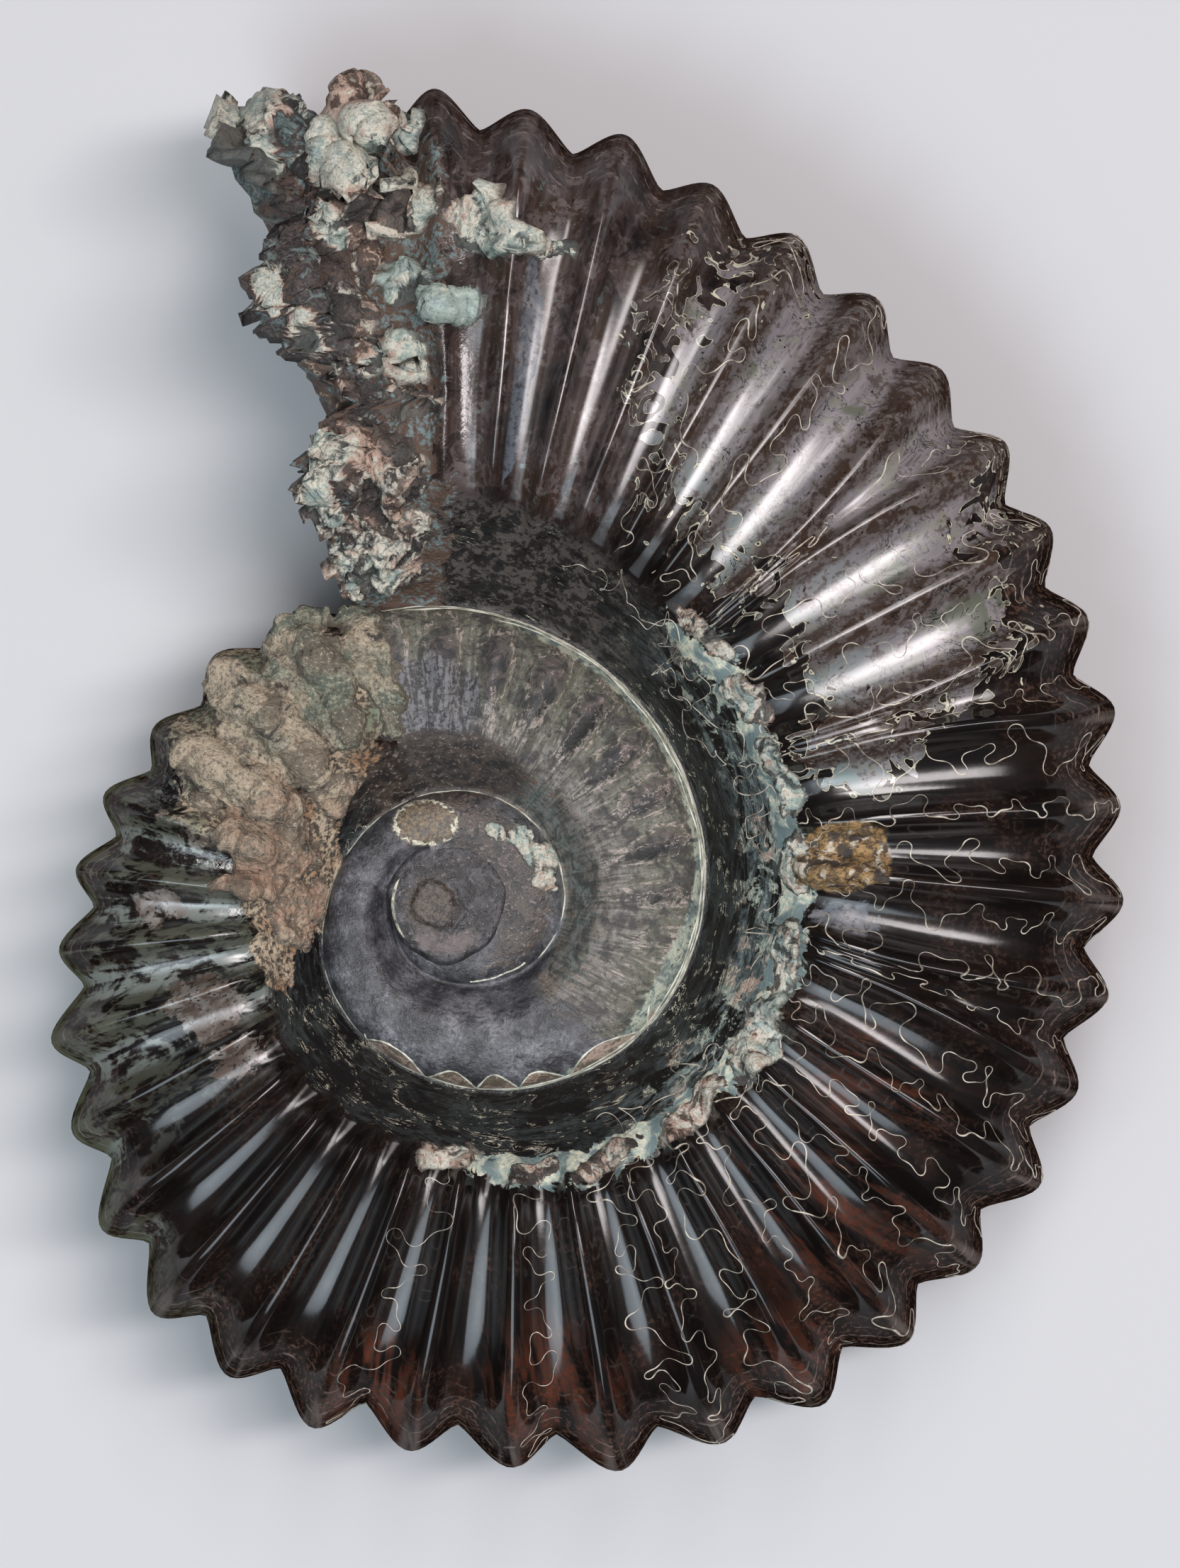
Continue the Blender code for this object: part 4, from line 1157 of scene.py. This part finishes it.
# Crusts and sediment: (angle, radius, half angle, half radius, thickness, tone), in mm but for angles. Tone
# runs from pale sage 0 over cream 0.3 and tan 0.5 to dark rust brown 1, with ochre above 1.4.
MOUTH_CRUSTS = (
    (463.5, 57.0, 8.5, 19.0, 0.45, 0.8),
    (463.0, 36.0, 12.0, 9.0, 0.4, 0.72),
    (464.5, 75.0, 3.2, 4.6, 0.9, 0.12),
    (461.0, 74.5, 1.8, 3.0, 0.3, 1.0),
    (457.2, 72.4, 2.9, 4.2, 1.0, 0.2),
    (453.2, 73.2, 1.6, 1.6, 0.8, 0.02),
    (459.6, 66.0, 1.3, 3.6, 0.8, 0.0),
    (453.2, 66.4, 3.3, 2.6, 0.9, 0.46),
    (446.5, 64.2, 3.4, 2.6, 1.0, 0.1),
    (443.0, 62.6, 4.4, 1.5, 0.8, 0.02),
    (453.8, 59.4, 3.0, 2.9, 0.6, 0.0),
    (448.9, 56.4, 3.2, 2.0, 1.0, 0.04),
    (465.4, 61.0, 1.6, 3.8, 0.9, 0.1),
    (463.4, 55.4, 2.1, 3.0, 1.0, 0.08),
    (458.5, 56.2, 3.2, 2.8, 0.5, 0.66),
    (454.4, 51.8, 2.9, 3.2, 0.9, 0.12),
    (454.0, 47.4, 3.4, 1.5, 0.8, 0.4),
    (463.9, 43.9, 3.0, 2.8, 0.9, 0.16),
    (458.6, 42.0, 5.6, 4.0, 1.0, 0.52),
    (466.0, 40.6, 2.6, 2.6, 0.8, 0.0),
    (457.0, 37.2, 5.6, 2.2, 0.7, 0.6),
    (462.6, 32.8, 6.4, 3.4, 1.2, 0.02),
)
SHOULDER_CRUSTS = (
    (270.0, 24.0, 7.0, 1.4, 0.25, 0.35),
    (288.0, 26.8, 6.0, 1.0, 0.25, 0.5),
    (303.0, 28.8, 7.0, 1.2, 0.3, 0.55),
    (320.0, 30.9, 8.0, 1.3, 0.3, 0.3),
    (337.0, 32.6, 7.0, 2.1, 0.5, 0.1),
    (351.0, 33.2, 8.0, 1.4, 0.35, 0.0),
    (366.8, 34.0, 5.0, 1.7, 0.5, 0.15),
    (380.0, 34.6, 8.0, 1.3, 0.3, 0.0),
    (394.0, 35.2, 5.0, 1.7, 0.45, 0.2),
    (406.0, 36.0, 6.0, 1.1, 0.3, 0.35),
    (367.0, 38.2, 4.4, 4.6, 0.7, 1.6),
)
SEDIMENTS = (
    (107.0, 24.5, 7.0, 7.0, 1.0, 0.1),
    (121.0, 24.0, 15.0, 7.5, 1.9, 0.0),
    (140.0, 22.5, 20.0, 7.0, 1.8, 0.5),
    (160.0, 17.5, 18.0, 4.2, 1.3, 0.9),
    (182.0, 14.5, 14.0, 2.6, 0.9, 0.8),
    (135.0, 15.2, 9.0, 2.6, 0.7, 1.0),
)
FROST = (
    (-346.0, 9.6, 9.0, 1.3, 0.45, 0.05),
    (-333.0, 10.4, 8.0, 1.5, 0.45, 0.1),
    (-318.0, 9.6, 9.0, 1.2, 0.4, 0.1),
    (-305.0, 8.6, 8.0, 0.8, 0.35, 0.2),
)

# How far a crust's edge dips under the shell, how deep its root goes, the depth at which it is cut off, and
# the least that it stands out where it covers the shell, in mm
CRUST_DIP = 0.6
CRUST_ROOT = 0.9
CRUST_CUT = -0.2
CRUST_LEAST = 0.03


def flakes(points, count, tilt, seed):
    """Broken flakes all over a surface: each point's lift, its flake's tone, and how far off the edge is."""
    rng = np.random.default_rng(seed)
    flat = points.reshape(-1, 3)
    centres = flat[rng.choice(len(flat), count, replace=False)]
    tree = KDTree(count)
    for i, centre in enumerate(centres):
        tree.insert(Vector(centre), i)
    tree.balance()
    size = math.sqrt(np.ptp(flat[:, 0]) * np.ptp(flat[:, 1]) / count)
    bent = flat + 0.3 * size * np.stack([noise_at(flat, 0.8 * size, seed + n, 2) for n in range(3)], axis=1)
    bent = bent + 1.3 * size * np.stack([noise_at(flat, 2.6 * size, seed + 7 + n) for n in range(3)], axis=1)
    found = [tree.find_n(Vector(p), 2) for p in bent]
    own = np.array([near[0][1] for near in found])
    gap = np.array([near[1][2] - near[0][2] for near in found])
    slope = rng.normal(0, tilt, (count, 3))[own]
    lift = rng.uniform(0, 1, count)[own] + np.sum(slope * (flat - centres[own]), axis=1) / size
    fields = {"lift": lift, "flake": rng.uniform(0, 1, count)[own], "gap": gap / size}
    return {key: field.reshape(points.shape[:-1]) for key, field in fields.items()}


def crust_depth(points, values, patches, fray_size, seed, soft):
    """Thickness in mm and tone for each point, from frayed patches. Soft tones run into each other."""
    angle, radius = values[..., 0], values[..., 1]
    depth = np.full(angle.shape, -CRUST_DIP)
    tone = np.zeros(angle.shape)
    tones = np.zeros(angle.shape)
    shares = np.full(angle.shape, 1e-6)
    fray = 0.42 * noise_at(points, fray_size, seed, 5)
    for at_angle, at_radius, half_angle, half_radius, thick, patch_tone in patches:
        inside = patch(angle, radius, at_angle, at_radius, half_angle, half_radius, 0.9) + fray
        here = thick * ease(0.5, 0.80, inside) - CRUST_DIP * ease(0.5, 0.34, inside)
        tone = np.where(here > depth, patch_tone, tone)
        depth = np.maximum(depth, here)
        inside = patch(angle, radius, at_angle, at_radius, half_angle, half_radius, 0.45) ** 2
        tones = tones + patch_tone * inside
        shares = shares + inside
    return depth, tones / shares if soft else tone


def make_crust(name, patches, grid, broken, fray_size, seed, material, soft=False):
    """Crusts over one stretch of the upper side. Each stands out of the shell and its edge dips under it.
    Broken says how many flakes it has, how much they tilt and how high they stand, for each size of flake."""
    points, values = grid
    normals = grid_normals(points)
    depth, tone = crust_depth(points, values, patches, fray_size, seed, soft)
    uneven = 0.6 + 0.5 * noise_at(points, 2.6, seed + 2, 3)
    raised = depth * uneven + 0.1 * noise_at(points, 0.8, seed + 3, 3)
    largest = None
    for count, tilt, high in broken:
        found = flakes(points, count, tilt, seed + 5)
        raised = raised + high * found["lift"] * ease(0, 0.4, depth)
        raised = raised - 0.25 * high * ease(0.12, 0, found["gap"])
        largest = largest or found
    raised = np.where(depth > 0, np.maximum(raised, CRUST_LEAST), depth)
    top = points + normals * raised[..., None]
    cell_depth = np.max([depth[:-1, :-1], depth[1:, :-1], depth[:-1, 1:], depth[1:, 1:]], axis=0)
    made, faces, sources = close_slab(top, points - normals * CRUST_ROOT, cell_depth > CRUST_CUT)
    found = {"tone": tone, "thick": depth, **largest}
    found = {key: field.ravel()[sources] for key, field in found.items()}
    return make_piece(name, made, faces, [material], found)


def crust_material():
    """Flaky crusts: sage and bone, then tan, brown and teal as tone rises, with painted highlights on the
    flakes' edges and painted shade in their hollows and crevices.
    """
    g = Graph("mineral_crust")
    medium = g.noise(1.5, 4.0, 0.65, 0.9)
    coarse = g.noise(4.5, 3.0)
    fine = g.noise(0.35, 3.0, 0.75)
    tone = g.value("tone")
    shade = g.sum(g.times(tone, 0.62), g.times("flake", 0.36))
    shade = g.shaken(shade, (medium, 0.8), (coarse, 0.5))
    sage = g.mix(g.step(medium, 0.36, 0.62), SAGE_DARK, g.mix(g.step(coarse, 0.44, 0.56), SAGE, PALE_TEAL))
    colour = g.mix(g.step(shade, 0.10, 0.30), sage, g.mix(g.step(fine, 0.36, 0.60), BONE_DARK, BONE))
    colour = g.coat(colour, PINK_TAN, g.step(shade, 0.3, 0.44))
    colour = g.coat(colour, ROCK_BROWN, g.step(shade, 0.46, 0.53))
    dark = g.mix(g.step(fine, 0.42, 0.6), FLAKE_BLACK, FLAKE_BROWN)
    colour = g.coat(colour, dark, g.step(shade, 0.56, 0.66))
    teal = g.mix(g.step(medium, 0.44, 0.56), FLAKE_DEEP_TEAL, FLAKE_TEAL)
    colour = g.coat(colour, teal, g.step(shade, 0.74, 0.86))
    colour = g.coat(colour, ochre(g, fine), g.step(tone, 1.2, 1.4))
    gap = g.value("gap")
    # Painted highlight: pale colour along the flakes' edges
    flake_edge_highlight = g.times(g.step(gap, 0.14, 0.03), g.step(medium, 0.46, 0.58))
    colour = g.coat(colour, FLAKE_HIGHLIGHT_CREAM, flake_edge_highlight, 0.85)
    # Painted shade: dark where the flakes sit low and in the grooves between them
    hollow = g.frayed(0.3, 0.06, "lift", (medium, 1.2))
    colour = g.coat(colour, HOLLOW_SHADE_BLACK, hollow, 0.85)
    crevice_shade = g.times(g.step(gap, 0.10, 0.02), g.step(medium, 0.52, 0.42))
    colour = g.coat(colour, CREVICE_SHADE_BROWN, crevice_shade, 0.8)
    colour = g.coat(colour, THIN_BROWN, g.step("thick", 0.24, 0.0), 0.8)
    colour = g.coat(colour, GRIT_BROWN, g.step(fine, 0.47, 0.33), 0.45)
    return g.finish(colour, g.blend(medium, 0.40, 0.9), fine, 0.25)


def sediment_material():
    """Sandy rock: green where the tone is low, then sand and rust, with dark and pale grains and painted
    shade where the grains sit low.
    """
    g = Graph("sandy_sediment")
    coarse = g.noise(5.0, 3.0)
    medium = g.noise(1.8, 4.0, 0.65, 1.2)
    blotch = g.noise(2.6, 5.0, 0.6, 1.5)
    fine = g.noise(0.4, 3.0, 0.75)
    shade = g.shaken("tone", (coarse, 1.5))
    green = g.mix(g.frayed(0.42, 0.56, blotch, (fine, 0.4)), SILT_GREEN, SILT_PALE)
    colour = g.mix(g.frayed(0.0, 0.4, shade, (blotch, 0.5)), green, SAND_PALE)
    colour = g.coat(colour, SILT_RUST, g.step(shade, 0.55, 1.0))
    colour = g.coat(colour, SILT_BUFF, g.times(g.step(blotch, 0.5, 0.6), g.step(medium, 0.38, 0.52)))
    # Painted shade: darker where the grains sit low
    hollow = g.frayed(0.34, 0.1, "lift", (medium, 1.3))
    colour = g.coat(colour, SILT_SHADE, hollow, 0.7)
    low = g.frayed(0.5, 0.2, "thick", (blotch, 1.6))
    colour = g.coat(colour, SILT_BROWN, low, 0.7)
    colour = g.coat(colour, SILT_DARK, g.step(blotch, 0.62, 0.66), 0.9)
    colour = g.coat(colour, GRAIN_DARK, g.step(fine, 0.5, 0.36), 0.75)
    colour = g.coat(colour, GRAIN_PALE, g.step(fine, 0.58, 0.68), 0.6)
    return g.finish(colour, 0.8, g.shaken(fine, (medium, 0.8)), 0.35)


def last_grid(angles, count, shares, rows):
    phases = np.linspace(phase_of(angles[0]), phase_of(angles[1]), count)[:, None]
    return last_turn(phases, np.linspace(*shares, rows)[None, :], 1)


def make_crusts():
    crust = crust_material()
    mouth = last_grid((438, 468), 190, (-0.8, 0.99), 240)
    make_crust("mouth_crust", MOUTH_CRUSTS, mouth, ((170, 0.45, 1.2), (1300, 0.35, 0.3)), 3.0, 21, crust)
    shoulder = last_grid((255, 420), 620, (-0.40, 0.42), 84)
    make_crust("shoulder_crust", SHOULDER_CRUSTS, shoulder, ((1500, 0.3, 0.25),), 2.2, 31, crust)
    before = inner_turn(np.linspace(90, 106, 40)[:-1, None], np.linspace(-0.95, 0.84, 130)[None, :], 1, 1)
    slope = last_grid((106.2, 216), 300, (-0.95, 0.84), 130)
    slope = [np.concatenate(pair) for pair in zip(before, slope)]
    grains = ((260, 0.3, 0.28), (2600, 0.3, 0.12))
    make_crust("sediment", SEDIMENTS, slope, grains, 3.2, 41, sediment_material(), True)
    heart = inner_turn(np.linspace(-372, -288, 150)[:, None], np.linspace(0.1, 0.8, 46)[None, :], 1, 0)
    make_crust("frost_crust", FROST, heart, ((160, 0.2, 0.35),), 1.3, 51, crust)


# Points along each line, and the share at which suture lines begin
SUTURE_POINTS = 600
STRAND_POINTS = 500
SEAM_POINTS = 900
SUTURE_START = 0.03


def suture_path(phase, seed, swing):
    """Phases and shares along a frilled line across the flank. Its heading swings to and fro, past a right
    angle each way, so it folds back on itself in rounded lobes."""
    rng = np.random.default_rng(seed)
    at = np.linspace(0, 1, SUTURE_POINTS)
    turn = rng.uniform(0, FULL_WAVE, 4)
    folds = rng.uniform(6.5, 8.5)
    uneven = 1.1 * np.sin(FULL_WAVE * 2.3 * at + turn[0])
    heading = (1.5 + 0.35 * np.sin(FULL_WAVE * 3.1 * at + turn[1])) * np.sin(FULL_WAVE * folds * at + uneven)
    heading = swing * heading + 0.85 * np.sin(FULL_WAVE * 2.7 * folds * at + 2 * uneven + turn[2])
    outward = np.cumsum(np.cos(heading))
    sideways = np.cumsum(np.sin(heading))
    sideways = (sideways - sideways[-1] * at) / outward[-1]
    share = np.clip(SUTURE_START + (1 - SUTURE_START) * outward / outward[-1], 0.0, 1.0)
    angle = through(RIB_TIPS, phase)
    flank = outer_edge(angle) - through(SHOULDER, angle)
    radius = section_point(angle, share)[0]
    sideways = sideways * flank * (1 - SUTURE_START)
    return phase + sideways / (radius * math.radians(RIB_PITCH)), share


def surface_frame(phase, share, side):
    """Points on the last turn and the unit normals there."""
    points = last_turn(phase, share, side)[0]
    along = last_turn(phase + FRAME_STEP, share, side)[0] - points
    across = points - last_turn(phase, share - FRAME_STEP, side)[0]
    return points, unit(np.cross(across, along) * side)


def thin_line(points, normals, widths, lift=0.05):
    """A closed three-sided strip lying on the surface, half sunk in it."""
    tangent = np.gradient(points, axis=0)
    aside = unit(np.cross(tangent, normals))
    half = (widths / 2)[:, None]
    left = points - aside * half - normals * lift
    right = points + aside * half - normals * lift
    crown = points + normals * lift
    ring = np.stack([left, crown, right], axis=1).reshape(-1, 3)
    faces = []
    for i in range(len(points) - 1):
        for k in range(3):
            a, b = 3 * i + k, 3 * i + (k + 1) % 3
            faces.append([a, b, b + 3, a + 3])
    last = 3 * (len(points) - 1)
    faces += [[2, 1, 0], [last, last + 1, last + 2]]
    return ring, faces


def join_lines(lines):
    points = []
    faces = []
    first = 0
    for ring, own in lines:
        points.append(ring)
        faces += [[v + first for v in face] for face in own]
        first += len(ring)
    return np.concatenate(points), faces


def line_widths(count, seed, wide):
    rng = np.random.default_rng(seed)
    at = np.linspace(0, 1, count)
    pulse = 0.72 + 0.3 * np.sin(FULL_WAVE * rng.uniform(5, 9) * at + rng.uniform(0, 6))
    pulse = pulse + 0.2 * np.sin(FULL_WAVE * rng.uniform(20, 30) * at + rng.uniform(0, 6))
    return wide * pulse * ease(0, 0.02, at) * ease(1, 0.98, at) + 0.02


def strand_material(name, dim, pale):
    g = Graph(name)
    wave = g.noise(1.5, 2.0)
    return g.finish(g.mix(g.step(wave, 0.36, 0.62), dim, pale), 0.32, wave, 0.02)


# Suture lines: (first rib, last rib, ribs between lines, width in mm, how far they swing)
UPPER_SUTURES = ((11.4, 14.0, 1.7, 0.18, 1.0), (14.5, 31.0, 1.3, 0.26, 1.0), (15.2, 26.5, 1.3, 0.22, 0.8))
UNDER_SUTURES = ((4.0, 34.0, 2.1, 0.28, 1.0),)

# Winding strands on the last turn's wall: (first rib, last rib, share, how far it swings, bends, width in mm)
WALL_STRANDS = (
    (23.0, 29.0, -0.3, 0.13, 6, 0.26),
    (25.0, 28.0, -0.58, 0.1, 3, 0.22),
    (19.5, 23.5, -0.36, 0.12, 4, 0.24),
    (15.0, 19.0, -0.32, 0.11, 4, 0.2),
    (27.5, 31.0, -0.2, 0.1, 4, 0.22),
)


def wall_strand(first, last, share, swing, bends, seed):
    """Phases and shares along a line that winds like a river."""
    rng = np.random.default_rng(seed)
    at = np.linspace(0, 1, STRAND_POINTS)
    start = rng.uniform(0, FULL_WAVE, 3)
    bend = FULL_WAVE * bends * at + 1.8 * np.sin(FULL_WAVE * 2.1 * at + start[0])
    phase = first + (last - first) * (at + 0.11 / bends * np.sin(2 * bend + start[1]))
    tall = swing * (1 + 0.8 * np.sin(FULL_WAVE * 2.6 * at + start[2]))
    return phase, share + tall * np.sin(bend) + 0.25 * swing * np.sin(2.7 * bend)


def make_sutures():
    lines = []
    seed = 100
    for side, runs in ((1, UPPER_SUTURES), (-1, UNDER_SUTURES)):
        for first, last, every, wide, swing in runs:
            for phase in np.arange(first, last, every):
                seed += 1
                path = suture_path(phase, seed, swing)
                points, normals = surface_frame(*path, side)
                lines.append(thin_line(points, normals, line_widths(len(points), seed, wide)))
    for n, (first, last, share, swing, bends, wide) in enumerate(WALL_STRANDS):
        points, normals = surface_frame(*wall_strand(first, last, share, swing, bends, 200 + n), 1)
        lines.append(thin_line(points, normals, line_widths(len(points), 300 + n, wide)))
    material = strand_material("suture_lines", SUTURE_DIM, SUTURE_PALE)
    return make_piece("suture_lines", *join_lines(lines), [material])


def inner_frame(angle, share):
    """The same on the upper side of the inner turns."""
    points = inner_turn(angle, share, 1, 1)[0]
    along = inner_turn(angle + INNER_FRAME_STEPS[0], share, 1, 1)[0] - points
    across = points - inner_turn(angle, share - INNER_FRAME_STEPS[1], 1, 1)[0]
    return points, unit(np.cross(across, along))


# Strands along the seams: (first angle, last angle, share, width in mm, seed)
SCALLOPED = 4
SEAM_STRANDS = (
    (-250, 105, 0.872, 0.6, 1),
    (-95, 98, 0.85, 0.6, 2),
    (-60, 80, 0.824, 0.45, 5),
    (-390, -255, 0.868, 0.4, 3),
    (-40, 30, 0.8, 0.3, 7),
    (-122, -26, EDGE_SHARE, 0.45, SCALLOPED),
    (-433, -396, 0.74, 0.22, 6),
)


def make_seam_lines():
    """The pale strands along the seams, and the scalloped line just inside the outer one."""
    lines = []
    for first, last, share, wide, seed in SEAM_STRANDS:
        angle = np.linspace(first, last, SEAM_POINTS)
        turn = np.radians(angle)
        wander = 0.012 * np.sin(turn * 9 + seed) + 0.007 * np.sin(turn * 23 + 2 * seed)
        if seed == SCALLOPED:
            wander = wander - scallops(angle)
        points, normals = inner_frame(angle, share + wander)
        lines.append(thin_line(points, normals, line_widths(len(points), seed, wide), 0.1))
    material = strand_material("seam_lines", SEAM_DIM, SEAM_PALE)
    return make_piece("seam_lines", *join_lines(lines), [material])


# The floor, the world's light and the lamps: (name, place, (width, height), watts, colour), in metres
FLOOR_REACH = 3.0
FLOOR_DROP = 0.0002
FLOOR_GREY = (0.53, 0.53, 0.54)
BACKDROP = (0.78, 0.82, 0.88)
BACKDROP_STRENGTH = 0.06
LIGHTS_AIM = (0, 0, 0.02)
LIGHTS = (
    ("right_softbox", (0.30, 0.04, 0.88), (0.26, 0.74), 1.2, (1.0, 0.94, 0.95)),
    ("right_glow", (0.30, 0.04, 0.88), (0.12, 0.46), 5.2, (1.0, 0.93, 0.94)),
    ("left_softbox", (-0.25, -0.36, 0.80), (0.80, 0.58), 2.1, (0.78, 0.90, 1.0)),
    ("left_glow", (-0.25, -0.36, 0.80), (0.40, 0.26), 3.2, (0.82, 0.93, 1.0)),
    ("top_softbox", (0.08, 0.42, 0.82), (0.20, 0.55), 2.2, (1.0, 0.95, 0.94)),
)


def make_floor():
    mesh = bpy.data.meshes.new("floor")
    corners = [(x * FLOOR_REACH, y * FLOOR_REACH, 0) for x, y in ((-1, -1), (1, -1), (1, 1), (-1, 1))]
    mesh.from_pydata(corners, [], [(0, 1, 2, 3)])
    floor = bpy.data.objects.new("floor", mesh)
    floor.location = (0, 0, -FLOOR_DROP)
    bpy.context.scene.collection.objects.link(floor)
    material = bpy.data.materials.new("pale_floor")
    material.use_nodes = True
    shader = material.node_tree.nodes["Principled BSDF"]
    shader.inputs["Base Color"].default_value = (*FLOOR_GREY, 1)
    shader.inputs["Roughness"].default_value = 0.9
    mesh.materials.append(material)


def make_light(name, place, size, watts, colour):
    """A soft rectangular light."""
    light = bpy.data.lights.new(name, "AREA")
    light.shape = "RECTANGLE"
    light.size, light.size_y = size
    light.energy = watts
    light.color = colour
    lamp = bpy.data.objects.new(name, light)
    lamp.location = place
    lamp.rotation_euler = (Vector(LIGHTS_AIM) - Vector(place)).to_track_quat("-Z", "Y").to_euler()
    bpy.context.scene.collection.objects.link(lamp)


def make_lights():
    world = bpy.data.worlds.new("studio")
    bpy.context.scene.world = world
    world.use_nodes = True
    backdrop = world.node_tree.nodes["Background"]
    backdrop.inputs["Color"].default_value = (*BACKDROP, 1)
    backdrop.inputs["Strength"].default_value = BACKDROP_STRENGTH
    for row in LIGHTS:
        make_light(*row)
    bpy.context.scene.view_settings.view_transform = "Standard"


def make_camera():
    """Looks straight down the coil's axis, so placed that the pole falls on its pixel of the photograph."""
    across = (PHOTO_WIDTH / 2 - POLE_PIXEL[0]) / PIXELS_PER_MM
    up = (POLE_PIXEL[1] - PHOTO_HEIGHT / 2) / PIXELS_PER_MM
    camera = bpy.data.cameras.new("camera")
    camera.sensor_fit = "VERTICAL"
    camera.sensor_height = SENSOR
    camera.lens = SENSOR * PIXELS_PER_MM * CAMERA_DISTANCE / PHOTO_HEIGHT
    holder = bpy.data.objects.new("camera", camera)
    place = LIE @ Vector((across, up, CAMERA_DISTANCE))
    holder.matrix_world = Matrix.Translation(place * MM) @ LIE.to_3x3().to_4x4()
    bpy.context.scene.collection.objects.link(holder)
    bpy.context.scene.camera = holder


make_shell()
make_heart()
make_crusts()
make_sutures()
make_seam_lines()
make_floor()
make_lights()
make_camera()
